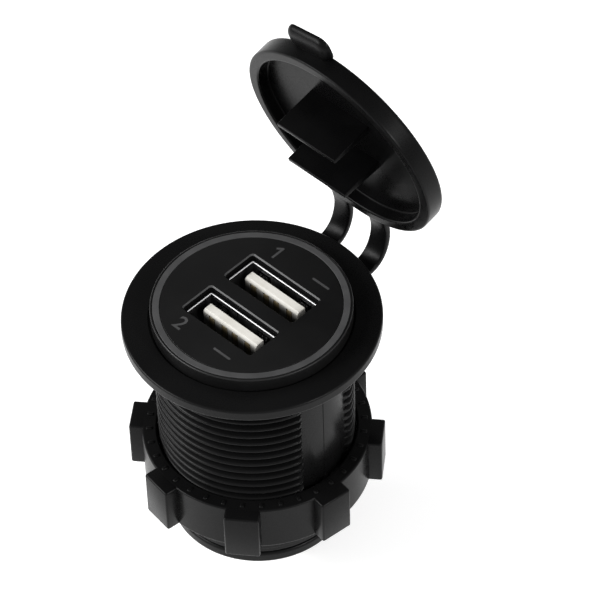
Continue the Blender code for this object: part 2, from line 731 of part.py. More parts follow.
nut = turned(
    "ring_nut",
    (
        (NUT_BORE_RADIUS + NUT_EDGE, NUT_HEIGHT / 2),
        (NUT_RING_RADIUS - NUT_EDGE, NUT_HEIGHT / 2),
        (NUT_RING_RADIUS, NUT_HEIGHT / 2 - NUT_EDGE),
        (NUT_RING_RADIUS, -NUT_HEIGHT / 2 + NUT_EDGE),
        (NUT_RING_RADIUS - NUT_EDGE, -NUT_HEIGHT / 2),
        (NUT_BORE_RADIUS + NUT_EDGE, -NUT_HEIGHT / 2),
        (NUT_BORE_RADIUS, -NUT_HEIGHT / 2 + NUT_EDGE),
        (NUT_BORE_RADIUS, NUT_HEIGHT / 2 - NUT_EDGE),
    ),
    black_plastic,
)
place(nut, (0, 0, -NUT_TOP_DEPTH - NUT_HEIGHT / 2))
lugs = place(nut_lugs(), parent=nut)
combine(nut, lugs, "UNION")
bars = place(serration_bars(), parent=nut)
combine(nut, bars, "DIFFERENCE")

cover_ring = turned(
    "cover_ring",
    (
        (BARREL_RADIUS + SEAT_GAP, COVER_RING_TOP),
        (COVER_RING_RADIUS, COVER_RING_TOP),
        (COVER_RING_RADIUS, COVER_RING_TOP - COVER_RING_THICKNESS),
        (BARREL_RADIUS + SEAT_GAP, COVER_RING_TOP - COVER_RING_THICKNESS),
    ),
    black_rubber,
)
lid_pivot = bpy.data.objects.new("lid_pivot", None)
parts.objects.link(lid_pivot)
place(lid_pivot, (0, HINGE_REACH, HINGE_HEIGHT), (-LID_OPEN_ANGLE, 0, 0))
lid = turned(
    "lid_cap",
    (
        (0, LID_HEIGHT),
        (LID_RADIUS - LID_EDGE, LID_HEIGHT),
        (LID_RADIUS, LID_HEIGHT - LID_EDGE),
        (LID_RADIUS, 0),
        (LID_RADIUS - LID_WALL, 0),
        (LID_RADIUS - LID_WALL, LID_HEIGHT - LID_TOP),
        (0, LID_HEIGHT - LID_TOP),
    ),
    black_rubber,
    closed=False,
)
place(lid, (0, -HINGE_REACH, LID_RIM - HINGE_HEIGHT), (0, 0, 0), lid_pivot)

tab_inner = LID_RADIUS - LID_WALL / 2
tab_length = LID_RADIUS + TAB_REACH - tab_inner
tab_outline = rounded_rectangle(TAB_WIDTH, tab_length, TAB_CORNER, TAB_CORNER_STEPS)
tab = extruded("tab", [tab_outline], TAB_THICKNESS, None)
tab_middle = tab_inner + tab_length / 2
tab_height = LID_HEIGHT - FINE_GAP - TAB_THICKNESS / 2
place(
    tab,
    (tab_middle * math.sin(TAB_TURN), -tab_middle * math.cos(TAB_TURN), tab_height),
    (0, 0, TAB_TURN),
    lid,
)
combine(lid, tab, "UNION")
ceiling = LID_HEIGHT - LID_TOP
for side, centre in PORT_CENTRES.items():
    tip = ceiling - BLADE_LENGTH
    taper = (BLADE_FAR_FACE - BLADE_NEAR_FACE - BLADE_TIP_THICKNESS) / BLADE_LENGTH
    blade = extruded(
        "blade_" + side,
        [
            (
                (BLADE_NEAR_FACE, ceiling + BLADE_SINK),
                (BLADE_NEAR_FACE, tip),
                (BLADE_NEAR_FACE + BLADE_TIP_THICKNESS, tip),
                (BLADE_FAR_FACE + taper * BLADE_SINK, ceiling + BLADE_SINK),
            )
        ],
        BLADE_WIDTH,
        None,
    )
    place(blade, (0, centre, 0), SIDEWAYS, lid)
    round_edges(blade, BLADE_EDGE, 2)
    combine(lid, blade, "UNION")


def strap_outline(start, end, end_direction):
    """Return both sides of a strap that bends from its root on the ring to the lid."""
    chord = math.hypot(end[0] - start[0], end[1] - start[1])
    end_reach = chord * STRAP_LID_BEND_SHARE
    handles = (
        start,
        (start[0] + chord * STRAP_ROOT_BEND_SHARE, start[1]),
        (end[0] - end_direction[0] * end_reach, end[1] - end_direction[1] * end_reach),
        end,
    )
    left = []
    right = []
    for sample in range(STRAP_SAMPLES + 1):
        t = sample / STRAP_SAMPLES
        weights = ((1 - t) ** 3, 3 * t * (1 - t) ** 2, 3 * t * t * (1 - t), t ** 3)
        slopes = (-3 * (1 - t) ** 2, 3 * (1 - t) * (1 - 3 * t), 3 * t * (2 - 3 * t), 3 * t * t)
        y = sum(weight * handle[0] for weight, handle in zip(weights, handles))
        z = sum(weight * handle[1] for weight, handle in zip(weights, handles))
        along_y = sum(slope * handle[0] for slope, handle in zip(slopes, handles))
        along_z = sum(slope * handle[1] for slope, handle in zip(slopes, handles))
        length = math.hypot(along_y, along_z)
        offset_y = -along_z / length * STRAP_THICKNESS / 2
        offset_z = along_y / length * STRAP_THICKNESS / 2
        left.append((y + offset_y, z + offset_z))
        right.append((y - offset_y, z - offset_z))
    return right + left[::-1]


cosine = math.cos(LID_OPEN_ANGLE)
sine = math.sin(LID_OPEN_ANGLE)
seat_y = LID_RADIUS + LID_ROOT_REACH + SEAT_GAP - HINGE_REACH
seat_z = LID_RIM + LID_ROOT_DEPTH - HINGE_HEIGHT
strap_end = (HINGE_REACH + seat_y * cosine + seat_z * sine, HINGE_HEIGHT - seat_y * sine + seat_z * cosine)
outline = strap_outline((STRAP_ROOT_RADIUS + SEAT_GAP, COVER_RING_MIDDLE), strap_end, (-cosine, sine))
for name, direction in (("left", -1), ("right", 1)):
    across = direction * STRAP_SPACING / 2
    ring_root = (COVER_RING_RADIUS + BARREL_RADIUS) / 2
    ring_lug = box(
        "ring_lug_" + name, (STRAP_WIDTH, STRAP_ROOT_RADIUS - ring_root, STRAP_THICKNESS), None
    )
    place(ring_lug, (across, (STRAP_ROOT_RADIUS + ring_root) / 2, COVER_RING_MIDDLE))
    combine(cover_ring, ring_lug, "UNION")
    lid_root = LID_RADIUS - LID_WALL / 2
    lug_reach = LID_RADIUS + LID_ROOT_REACH - lid_root
    lid_lug = box("lid_lug_" + name, (STRAP_WIDTH, lug_reach, STRAP_THICKNESS), None)
    place(lid_lug, (across, lid_root + lug_reach / 2, LID_ROOT_DEPTH), (0, 0, 0), lid)
    combine(lid, lid_lug, "UNION")
    strap = extruded("strap_" + name, [outline], STRAP_WIDTH, black_rubber)
    place(strap, (across, 0, 0), SIDEWAYS)
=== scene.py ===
import json
import math

import bmesh
import bpy
from mathutils import Matrix, Vector

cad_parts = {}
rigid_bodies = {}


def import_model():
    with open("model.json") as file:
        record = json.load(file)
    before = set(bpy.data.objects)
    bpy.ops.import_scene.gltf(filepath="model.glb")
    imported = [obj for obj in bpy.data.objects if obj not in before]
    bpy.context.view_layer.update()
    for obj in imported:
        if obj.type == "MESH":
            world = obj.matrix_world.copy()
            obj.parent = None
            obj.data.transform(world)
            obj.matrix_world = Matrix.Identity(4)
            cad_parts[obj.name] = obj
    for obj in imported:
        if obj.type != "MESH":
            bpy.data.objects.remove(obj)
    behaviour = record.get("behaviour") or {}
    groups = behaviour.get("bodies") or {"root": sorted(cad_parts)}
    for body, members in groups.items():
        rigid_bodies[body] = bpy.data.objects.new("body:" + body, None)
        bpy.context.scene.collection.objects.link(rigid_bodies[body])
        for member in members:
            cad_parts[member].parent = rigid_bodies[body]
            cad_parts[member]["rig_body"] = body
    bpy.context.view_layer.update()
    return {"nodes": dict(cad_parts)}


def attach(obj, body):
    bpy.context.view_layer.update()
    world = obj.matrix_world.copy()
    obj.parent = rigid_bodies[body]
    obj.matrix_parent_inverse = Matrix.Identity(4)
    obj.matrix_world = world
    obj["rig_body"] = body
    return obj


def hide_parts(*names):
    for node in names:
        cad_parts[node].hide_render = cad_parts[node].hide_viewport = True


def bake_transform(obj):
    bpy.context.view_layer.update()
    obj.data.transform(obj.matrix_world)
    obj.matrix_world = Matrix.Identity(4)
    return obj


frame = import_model()
nodes = frame["nodes"]
fullTurn = 2 * math.pi
zAxis = Vector((0, 0, 1))
sharpAngle = math.radians(35)
softenAngle = math.radians(40)
mergeDistance = 1e-7
hairline = 1e-6  # places closer than this count as the same
print("frame loaded:", len(nodes), "nodes")


# Materials: each one is a Principled surface with grain, roughness variation and bump in object space.

def newMaterial(name):
    material = bpy.data.materials.new(name)
    material.use_nodes = True
    tree = material.node_tree
    return material, tree, tree.nodes["Principled BSDF"]


def addNode(tree, kind, values=None):
    node = tree.nodes.new(kind)
    for key, value in (values or {}).items():
        node.inputs[key].default_value = value
    return node


def addNoise(tree, coordinates, scale, detail, stretch=(1, 1, 1)):
    mapping = addNode(tree, "ShaderNodeMapping", {"Scale": stretch})
    noise = addNode(tree, "ShaderNodeTexNoise", {"Scale": scale, "Detail": detail})
    tree.links.new(coordinates, mapping.inputs["Vector"])
    tree.links.new(mapping.outputs["Vector"], noise.inputs["Vector"])
    return noise.outputs["Fac"]


def addRange(tree, source, low, high, fromLow=0.35, fromHigh=0.65):
    # the defaults hold most of what a noise gives
    limits = {"From Min": fromLow, "From Max": fromHigh, "To Min": low, "To Max": high}
    node = addNode(tree, "ShaderNodeMapRange", limits)
    tree.links.new(source, node.inputs["Value"])
    return node.outputs["Result"]


def paintShadeByDepth(tree, coordinates, colour, shade):
    # painted shade: the colour is darker towards the bottom of a deep, narrow hole, where little light gets
    # in
    split = tree.nodes.new("ShaderNodeSeparateXYZ")
    tree.links.new(coordinates, split.inputs["Vector"])
    level = addRange(tree, split.outputs["Z"], shade["deepest"], 1, shade["low"], shade["high"])
    curve = addNode(tree, "ShaderNodeMath", {1: shade["curve"]})
    curve.operation = "POWER"
    tree.links.new(level, curve.inputs[0])
    scaled = tree.nodes.new("ShaderNodeVectorMath")
    scaled.operation = "SCALE"
    tree.links.new(colour, scaled.inputs["Vector"])
    tree.links.new(curve.outputs["Value"], scaled.inputs["Scale"])
    return scaled.outputs["Vector"]


noiseDetail = {"patches": 4.0, "grain": 2.0}


def makeSurface(name, look):
    material, tree, shader = newMaterial(name)
    coordinates = tree.nodes.new("ShaderNodeTexCoord").outputs["Object"]
    patches = addNoise(tree, coordinates, look["patchScale"], noiseDetail["patches"])
    stretch = look.get("stretch", (1, 1, 1))
    grain = addNoise(tree, coordinates, look["grainScale"], noiseDetail["grain"], stretch)
    mix = tree.nodes.new("ShaderNodeMix")
    mix.data_type = "RGBA"
    mix.inputs["A"].default_value = (*look["dark"], 1)
    mix.inputs["B"].default_value = (*look["light"], 1)
    tree.links.new(addRange(tree, patches, 0, 1), mix.inputs["Factor"])
    colour = mix.outputs["Result"]
    # painted shade that darkens the colour with depth, for the looks that carry it
    if "paintedDepthShade" in look:
        colour = paintShadeByDepth(tree, coordinates, colour, look["paintedDepthShade"])
    tree.links.new(colour, shader.inputs["Base Color"])
    rough = addNode(tree, "ShaderNodeMath")
    rough.operation = "ADD"
    tree.links.new(addRange(tree, patches, look["smooth"], look["rough"]), rough.inputs[0])
    tree.links.new(addRange(tree, grain, -look["grainRough"], look["grainRough"]), rough.inputs[1])
    tree.links.new(rough.outputs["Value"], shader.inputs["Roughness"])
    bump = addNode(tree, "ShaderNodeBump", {"Strength": look["bump"], "Distance": look["bumpDepth"]})
    tree.links.new(grain, bump.inputs["Height"])
    tree.links.new(bump.outputs["Normal"], shader.inputs["Normal"])
    shader.inputs["Metallic"].default_value = look.get("metallic", 0.0)
    shader.inputs["Specular IOR Level"].default_value = look.get("specular", 0.5)
    return material


looks = {
    "housingPlastic": {
        "dark": (0.0038, 0.0038, 0.0039), "light": (0.005, 0.005, 0.0051),
        "patchScale": 90, "grainScale": 9000,
        "smooth": 0.24, "rough": 0.32, "grainRough": 0.04, "bump": 0.14,
        "bumpDepth": 0.00002, "specular": 0.095,
    },
    "panelPlastic": {
        "dark": (0.0038, 0.0038, 0.0039), "light": (0.0054, 0.0054, 0.0055),
        "patchScale": 110, "grainScale": 14000,
        "smooth": 0.34, "rough": 0.42, "grainRough": 0.04, "bump": 0.14,
        "bumpDepth": 0.00002, "specular": 0.27,
    },
    # painted shade: a darker, duller copy of the panel plastic, for the walls of the openings
    "paintedShadeWallPlastic": {
        "dark": (0.0022, 0.0022, 0.0023), "light": (0.003, 0.003, 0.0031),
        "patchScale": 110, "grainScale": 9000,
        "smooth": 0.6, "rough": 0.7, "grainRough": 0.05, "bump": 0.2,
        "bumpDepth": 0.00002, "specular": 0.06,
    },
    # the grey of the ring and the printed marks, also used as a painted highlight on the lit mouth edges of
    # the openings
    "greyPlasticAndPaintedHighlight": {
        "dark": (0.05, 0.05, 0.051), "light": (0.064, 0.064, 0.065),
        "patchScale": 300, "grainScale": 12000,
        "smooth": 0.42, "rough": 0.5, "grainRough": 0.04, "bump": 0.15,
        "bumpDepth": 0.00002, "specular": 0.3,
    },
    "coverRubber": {
        "dark": (0.002, 0.002, 0.0021), "light": (0.0032, 0.0032, 0.0033),
        "patchScale": 120, "grainScale": 7000,
        "smooth": 0.26, "rough": 0.34, "grainRough": 0.04, "bump": 0.14,
        "bumpDepth": 0.00002, "specular": 0.078,
    },
    # painted shade: a darker, less glossy copy of the cover rubber for the lid's inner side
    "paintedShadeRubber": {
        "dark": (0.002, 0.002, 0.0021), "light": (0.003, 0.003, 0.0031),
        "patchScale": 120, "grainScale": 7000,
        "smooth": 0.26, "rough": 0.34, "grainRough": 0.04, "bump": 0.1,
        "bumpDepth": 0.00002, "specular": 0.04,
    },
    "shellSteel": {
        "dark": (0.74, 0.74, 0.75), "light": (0.84, 0.84, 0.85),
        "patchScale": 400, "grainScale": 5000,
        "stretch": (1, 1, 0.08), "smooth": 0.2, "rough": 0.28, "grainRough": 0.05, "bump": 0.12,
        "bumpDepth": 0.00001, "metallic": 1.0,
    },
    # painted highlight: a near-white, barely metallic copy of the shell steel for the lip
    "paintedHighlightLipSteel": {
        "dark": (0.9, 0.9, 0.91), "light": (0.96, 0.96, 0.97),
        "patchScale": 400, "grainScale": 5000,
        "stretch": (1, 1, 0.08), "smooth": 0.3, "rough": 0.4, "grainRough": 0.05, "bump": 0.1,
        "bumpDepth": 0.00001, "metallic": 0.15,
    },
    # painted shade: a much darker copy of the shell steel for the sleeve walls inside the port
    "paintedShadeSleeveSteel": {
        "dark": (0.2, 0.2, 0.205), "light": (0.28, 0.28, 0.285),
        "patchScale": 400, "grainScale": 5000,
        "stretch": (1, 1, 0.08), "smooth": 0.3, "rough": 0.4, "grainRough": 0.05, "bump": 0.12,
        "bumpDepth": 0.00001, "metallic": 1.0,
    },
    "tongueNylon": {
        "dark": (0.66, 0.64, 0.58), "light": (0.76, 0.74, 0.69),
        "patchScale": 260, "grainScale": 9000,
        "smooth": 0.42, "rough": 0.5, "grainRough": 0.04, "bump": 0.15,
        "bumpDepth": 0.00002, "specular": 0.3,
        # painted shade: the tongue darkens towards the bottom of the port
        "paintedDepthShade": {"low": 0.0007, "high": 0.00248, "deepest": 0.2, "curve": 2.0},
    },
    "contactGold": {
        "dark": (0.66, 0.52, 0.28), "light": (0.76, 0.62, 0.38),
        "patchScale": 900, "grainScale": 9000,
        "stretch": (1, 1, 0.1), "smooth": 0.3, "rough": 0.4, "grainRough": 0.04, "bump": 0.1,
        "bumpDepth": 0.00001, "metallic": 0.35,
        # painted shade: the contacts darken towards the bottom of the port
        "paintedDepthShade": {"low": 0.0007, "high": 0.00248, "deepest": 0.2, "curve": 2.0},
    },
    "boardGreen": {
        "dark": (0.012, 0.085, 0.035), "light": (0.02, 0.12, 0.05),
        "patchScale": 350, "grainScale": 3500,
        "smooth": 0.34, "rough": 0.44, "grainRough": 0.05, "bump": 0.2, "bumpDepth": 0.00003,
    },
    "ferriteGrey": {
        "dark": (0.035, 0.035, 0.037), "light": (0.06, 0.06, 0.062),
        "patchScale": 700, "grainScale": 8000,
        "smooth": 0.6, "rough": 0.72, "grainRough": 0.05, "bump": 0.35, "bumpDepth": 0.00004,
    },
    "copperWire": {
        "dark": (0.55, 0.22, 0.09), "light": (0.72, 0.34, 0.17),
        "patchScale": 500, "grainScale": 2600,
        "stretch": (0.1, 1, 0.1), "smooth": 0.28, "rough": 0.38, "grainRough": 0.05, "bump": 0.6,
        "bumpDepth": 0.00012, "metallic": 1.0,
    },
    "canAluminium": {
        "dark": (0.62, 0.63, 0.64), "light": (0.74, 0.75, 0.76),
        "patchScale": 300, "grainScale": 6000,
        "stretch": (1, 0.1, 1), "smooth": 0.3, "rough": 0.4, "grainRough": 0.05, "bump": 0.15,
        "bumpDepth": 0.00002, "metallic": 1.0,
    },
    "chipResin": {
        "dark": (0.012, 0.012, 0.013), "light": (0.022, 0.022, 0.024),
        "patchScale": 800, "grainScale": 9000,
        "smooth": 0.5, "rough": 0.6, "grainRough": 0.05, "bump": 0.25, "bumpDepth": 0.00003,
    },
    "tinnedBrass": {
        "dark": (0.6, 0.58, 0.52), "light": (0.72, 0.7, 0.64),
        "patchScale": 260, "grainScale": 4500,
        "stretch": (1, 1, 0.12), "smooth": 0.24, "rough": 0.36, "grainRough": 0.05, "bump": 0.15,
        "bumpDepth": 0.00002, "metallic": 1.0,
    },
}
materials = {name: makeSurface(name, look) for name, look in looks.items()}
print("materials made:", len(materials))


# Mesh helpers

def roundedProfile(corners, steps=5, support=0.00004):
    # each corner is (radius, height, fillet); a fillet becomes an arc with a support point on either side
    points = []
    for index, (r, z, fillet) in enumerate(corners):
        corner = Vector((r, z))
        if not fillet:
            points.append(corner)
            continue
        before = Vector(corners[index - 1][:2]) - corner
        after = Vector(corners[(index + 1) % len(corners)][:2]) - corner
        before.normalize()
        after.normalize()
        half = before.angle(after) / 2
        reach = fillet / math.tan(half)
        centre = corner + (before + after).normalized() * fillet / math.sin(half)
        first = corner + before * reach - centre
        last = corner + after * reach - centre
        points.append(corner + before * (reach + support))
        turn = -first.angle_signed(last)
        for step in range(steps + 1):
            points.append(centre + Matrix.Rotation(turn * step / steps, 2) @ first)
        points.append(corner + after * (reach + support))
    return points


def spinProfile(bm, points, steps, closed=True):
    verts = [bm.verts.new((r, 0, z)) for r, z in points]
    edges = [bm.edges.new(pair) for pair in zip(verts, verts[1:])]
    if closed:
        edges.append(bm.edges.new((verts[-1], verts[0])))
    bmesh.ops.spin(
        bm, geom=verts + edges, cent=(0, 0, 0), axis=zAxis, angle=fullTurn, steps=steps,
        use_merge=True, use_duplicate=False,
    )
    bmesh.ops.remove_doubles(bm, verts=bm.verts, dist=mergeDistance)


def addBlock(bm, size, centre, edge=0.0, segments=3):
    made = bmesh.ops.create_cube(bm, size=1)["verts"]
    bmesh.ops.scale(bm, vec=size, verts=made)
    bmesh.ops.translate(bm, vec=centre, verts=made)
    if edge:
        edges = list({e for v in made for e in v.link_edges})
        made = bmesh.ops.bevel(
            bm, geom=edges, offset=edge, segments=segments, profile=0.5, affect="EDGES", material=-1
        )["verts"]
    return made


def roundedBlock(bm, size, centre, corner, segments=5):
    # a block whose four upright edges are rounded
    made = addBlock(bm, size, centre)
    upright = {e for v in made for e in v.link_edges if abs((e.verts[0].co - e.verts[1].co).z) > size[2] / 2}
    bmesh.ops.bevel(
        bm, geom=list(upright), offset=corner, segments=segments, profile=0.5, affect="EDGES", material=-1
    )


def turnAbout(bm, verts, angle):
    bmesh.ops.rotate(bm, cent=(0, 0, 0), matrix=Matrix.Rotation(angle, 3, "Z"), verts=verts)


def growFace(bm, face):
    # extrudes one face and gives the new one with its vertices
    grown = bmesh.ops.extrude_face_region(bm, geom=[face])["geom"]
    if face.is_valid and face not in grown:
        bmesh.ops.delete(bm, geom=[face], context="FACES_ONLY")
    verts = [item for item in grown if isinstance(item, bmesh.types.BMVert)]
    return [item for item in grown if isinstance(item, bmesh.types.BMFace)][0], verts


def smoothWithEdges(mesh):
    mesh.shade_smooth()
    mesh.set_sharp_from_angle(angle=sharpAngle)


def finishPiece(bm, name, material, body=None, stands=()):
    bm.normal_update()
    bmesh.ops.recalc_face_normals(bm, faces=bm.faces)
    if bm.calc_volume(signed=True) < 0:
        bmesh.ops.reverse_faces(bm, faces=bm.faces)
    mesh = bpy.data.meshes.new(name)
    bm.to_mesh(mesh)
    bm.free()
    smoothWithEdges(mesh)
    mesh.materials.append(materials[material])
    piece = bpy.data.objects.new(name, mesh)
    bpy.context.scene.collection.objects.link(piece)
    if body:
        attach(piece, body)
    if stands:
        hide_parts(*stands)
    return piece


def applyModifiers(piece):
    evaluated = piece.evaluated_get(bpy.context.evaluated_depsgraph_get())
    mesh = bpy.data.meshes.new_from_object(evaluated)
    piece.modifiers.clear()
    piece.data = mesh


def combineWith(piece, bm, operation):
    mesh = bpy.data.meshes.new(piece.name + "Tool")
    bmesh.ops.recalc_face_normals(bm, faces=bm.faces)
    bm.to_mesh(mesh)
    bm.free()
    tool = bpy.data.objects.new(piece.name + "Tool", mesh)
    bpy.context.scene.collection.objects.link(tool)
    modifier = piece.modifiers.new("combine", "BOOLEAN")
    modifier.operation = operation
    modifier.object = tool
    bpy.context.view_layer.update()
    applyModifiers(piece)
    bpy.data.objects.remove(tool)


def softenPiece(piece, width, segments=2):
    bevel = piece.modifiers.new("soften", "BEVEL")
    bevel.width = width
    bevel.segments = segments
    bevel.limit_method = "ANGLE"
    bevel.angle_limit = softenAngle
    bevel.harden_normals = True
    bpy.context.view_layer.update()
    applyModifiers(piece)


# Threaded housing

housing = {
    "flangeRadius": 0.0185, "flangeTop": 0.00183, "flangeFillet": 0.00035,
    "recessRadius": 0.01465, "recessFloor": 0.00133, "barrelRadius": 0.0135, "boreRadius": 0.0124,
    "reliefTop": -0.034, "reliefRadius": 0.0131, "bottom": -0.0352, "neckFillet": 0.0004,
    "recessEdge": 0.00005, "reliefEdge": 0.0001, "bottomEdge": 0.0002, "steps": 180,
    "crestRadius": 0.0143, "pitch": 0.0015, "threadBottom": -0.0322, "threadTop": -0.0034,
    # half of the rounded ridge, as (distance below the crest, distance from its middle)
    "ridgeShape": ((0, 0), (0.00003, 0.0001), (0.00012, 0.0002), (0.0003, 0.00029), (0.00062, 0.0004),
                   (0.0011, 0.00055)),
    "bandAngle": math.radians(49), "bandTurn": math.radians(4), "arcSteps": 44,
    "runout": math.radians(1.7), "runoutShares": (0.15, 0.55, 1.05),
    "seamTurn": math.radians(0.6), "seamWidth": 0.00012, "seamGap": 0.001,
}


def addRidge(bm, startAngle, height):
    h = housing
    arc = math.pi - h["bandAngle"]
    upper = [(h["crestRadius"] - depth, z) for depth, z in h["ridgeShape"]]
    section = upper[::-1] + [(r, -z) for r, z in upper[1:]]
    ring = []
    for r, z in section:
        ring.append(bm.verts.new((r * math.cos(startAngle), r * math.sin(startAngle), height + z)))
    face = bm.faces.new(ring)
    rise = h["pitch"] * arc / fullTurn / h["arcSteps"]
    spun = bmesh.ops.spin(
        bm, geom=[face], cent=(0, 0, 0), axis=zAxis, dvec=(0, 0, rise), angle=arc, steps=h["arcSteps"],
        use_duplicate=False,
    )
    last = [item for item in spun["geom_last"] if isinstance(item, bmesh.types.BMFace)][0]
    for end, direction in ((face, -1), (last, 1)):
        for share in h["runoutShares"]:
            end = extendRidge(bm, end, direction * h["runout"], share)


def extendRidge(bm, face, turn, share):
    # the ridge runs on a little while its crest drops into the barrel
    end, verts = growFace(bm, face)
    height = housing["crestRadius"] - housing["barrelRadius"]
    ceiling = housing["crestRadius"] - height * share
    for vert in verts:
        radius = vert.co.xy.length
        vert.co.xy *= min(radius, ceiling) / radius
        vert.co = Matrix.Rotation(turn, 3, "Z") @ vert.co
    return end


def makeHousing():
    h = housing
    bm = bmesh.new()
    corners = [
        (h["recessRadius"], h["flangeTop"], h["recessEdge"]),
        (h["flangeRadius"], h["flangeTop"], h["flangeFillet"]),
        (h["flangeRadius"], 0, h["flangeFillet"]), (h["barrelRadius"], 0, h["neckFillet"]),
        (h["barrelRadius"], h["reliefTop"], h["reliefEdge"]),
        (h["reliefRadius"], h["reliefTop"], h["reliefEdge"]),
        (h["reliefRadius"], h["bottom"], h["bottomEdge"]), (h["boreRadius"], h["bottom"], h["bottomEdge"]),
        (h["boreRadius"], h["recessFloor"], 0), (h["recessRadius"], h["recessFloor"], 0),
    ]
    spinProfile(bm, roundedProfile(corners), h["steps"])
    halfTurns = int((h["threadTop"] - h["threadBottom"]) / (h["pitch"] / 2))
    firstAngle = h["bandTurn"] + h["bandAngle"] / 2
    for halfTurn in range(halfTurns):
        addRidge(bm, firstAngle + halfTurn * math.pi, h["threadBottom"] + halfTurn * h["pitch"] / 2)
    for side in (0, math.pi):
        length = h["threadTop"] - h["reliefTop"]
        seam = addBlock(
            bm, (h["seamWidth"], h["seamWidth"], length - h["seamGap"]),
            (h["barrelRadius"], 0, (h["threadTop"] + h["reliefTop"]) / 2), h["seamWidth"] / 4, 2,
        )
        turnAbout(bm, seam, h["seamTurn"] + side)
    return finishPiece(bm, "housing", "housingPlastic", "socket", ["threaded_housing"])


makeHousing()
print("housing made")


# Face panel, ring and marks

panel = {
    "radius": 0.01435, "top": 0.00385, "edge": 0.00022, "seat": 0.00163, "skirtRadius": 0.0121,
    "skirtBottom": -0.0101, "skirtInner": 0.0109, "plate": 0.0015,
    "grooveInner": 0.0129, "grooveOuter": 0.01402, "grooveFloor": 0.00305,
    "ringInner": 0.01298, "ringOuter": 0.01394, "ringDepth": 0.0007,
    "portSpacing": 0.00836, "openingWidth": 0.0133, "openingHeight": 0.0057, "openingCorner": 0.0005,
    "mouthEdge": 0.00018, "cutterRise": 0.001, "grooveEdge": 0.00005, "ringEdge": 0.00006,
    "wallInset": 0.0005, "steps": 180,
    "markHeight": 0.00003, "markSize": 0.0034, "markStroke": 0.00003,
    "barLength": 0.0032, "barWidth": 0.00036, "barRounding": 0.49,
    "onePlace": (-0.0041, 0.0096), "twoPlace": (-0.0047, -0.0094),
    # outline of the "1" about its place
    "oneOutline": ((-0.00016, -0.00122), (0.0002, -0.00122), (0.0002, 0.00122), (-0.00012, 0.00122),
                   (-0.00086, 0.00062), (-0.00066, 0.00034), (-0.00016, 0.00074)),
    "barPlaces": {"Far": (0.0045, 0.0094), "Near": (0.0036, -0.0095)},
}
portCentres = {"Near": -panel["portSpacing"] / 2, "Far": panel["portSpacing"] / 2}


def makePanel():
    p = panel
    bm = bmesh.new()
    corners = [
        (0, p["top"], 0), (p["grooveInner"], p["top"], p["grooveEdge"]),
        (p["grooveInner"], p["grooveFloor"], 0), (p["grooveOuter"], p["grooveFloor"], 0),
        (p["grooveOuter"], p["top"], p["grooveEdge"]),
        (p["radius"], p["top"], p["edge"]), (p["radius"], p["seat"], 0), (p["skirtRadius"], p["seat"], 0),
        (p["skirtRadius"], p["skirtBottom"], 0), (p["skirtInner"], p["skirtBottom"], 0),
        (p["skirtInner"], p["top"] - p["plate"], 0), (0, p["top"] - p["plate"], 0),
    ]
    spinProfile(bm, roundedProfile(corners), p["steps"], closed=False)
    piece = finishPiece(bm, "facePanel", "panelPlastic", "socket", ["face_panel"])
    for centre in portCentres.values():
        combineWith(piece, makeOpening(centre), "DIFFERENCE")
    finishOpenings(piece)
    return piece


def makeOpening(centre):
    # the cutter of one opening, flared at the mouth
    p = panel
    width, height, flare = p["openingWidth"], p["openingHeight"], p["mouthEdge"]
    depth = p["plate"] * 2
    bm = bmesh.new()
    roundedBlock(bm, (width, height, depth), (0, centre, p["top"] - flare - depth / 2), p["openingCorner"])
    bm.normal_update()
    face = [f for f in bm.faces if f.normal.z > 0.9][0]
    mouth = (1 + 2 * flare / width, 1 + 2 * flare / height, 1)
    for scale, rise in ((mouth, flare), ((1, 1, 1), p["cutterRise"])):
        face, verts = growFace(bm, face)
        bmesh.ops.scale(bm, vec=scale, space=Matrix.Translation((0, -centre, 0)), verts=verts)
        bmesh.ops.translate(bm, vec=(0, 0, rise), verts=verts)
    return bm


def finishOpenings(piece):
    # painted shade: darker, dull walls in the openings; painted highlight: a lighter mouth on the two sides
    # that the light reaches
    level, slanted = 0.99, 0.3  # how far a face's normal points up
    wallReach = panel["skirtInner"] - panel["wallInset"]
    piece.data.materials.append(materials["paintedShadeWallPlastic"])
    piece.data.materials.append(materials["greyPlasticAndPaintedHighlight"])
    for face in piece.data.polygons:
        x, y, z = face.normal
        if abs(z) > level:
            face.use_smooth = False
        elif face.center.xy.length < wallReach:
            # painted highlight: the slanted mouth faces on the lit sides take the grey
            lit = abs(z) > slanted and x - y > 0
            face.material_index = 2 if lit else 1
    piece.data.set_sharp_from_angle(angle=sharpAngle)


def makeRing():
    p = panel
    bm = bmesh.new()
    corners = [
        (p["ringInner"], p["top"], p["ringEdge"]), (p["ringOuter"], p["top"], p["ringEdge"]),
        (p["ringOuter"], p["top"] - p["ringDepth"], 0), (p["ringInner"], p["top"] - p["ringDepth"], 0),
    ]
    spinProfile(bm, roundedProfile(corners), p["steps"])
    return finishPiece(bm, "faceRing", "greyPlasticAndPaintedHighlight", "socket", ["face_ring"])


def makeOne(x, y):
    # the far port's plain number, with a flag long enough to read
    p = panel
    bm = bmesh.new()
    outline = [bm.verts.new((x + u, y + v, p["top"])) for u, v in p["oneOutline"]]
    grown = bmesh.ops.extrude_face_region(bm, geom=[bm.faces.new(outline)])["geom"]
    raised = [item for item in grown if isinstance(item, bmesh.types.BMVert)]
    bmesh.ops.translate(bm, vec=(0, 0, p["markHeight"]), verts=raised)
    return finishPiece(bm, "numberOne", "greyPlasticAndPaintedHighlight", "socket")


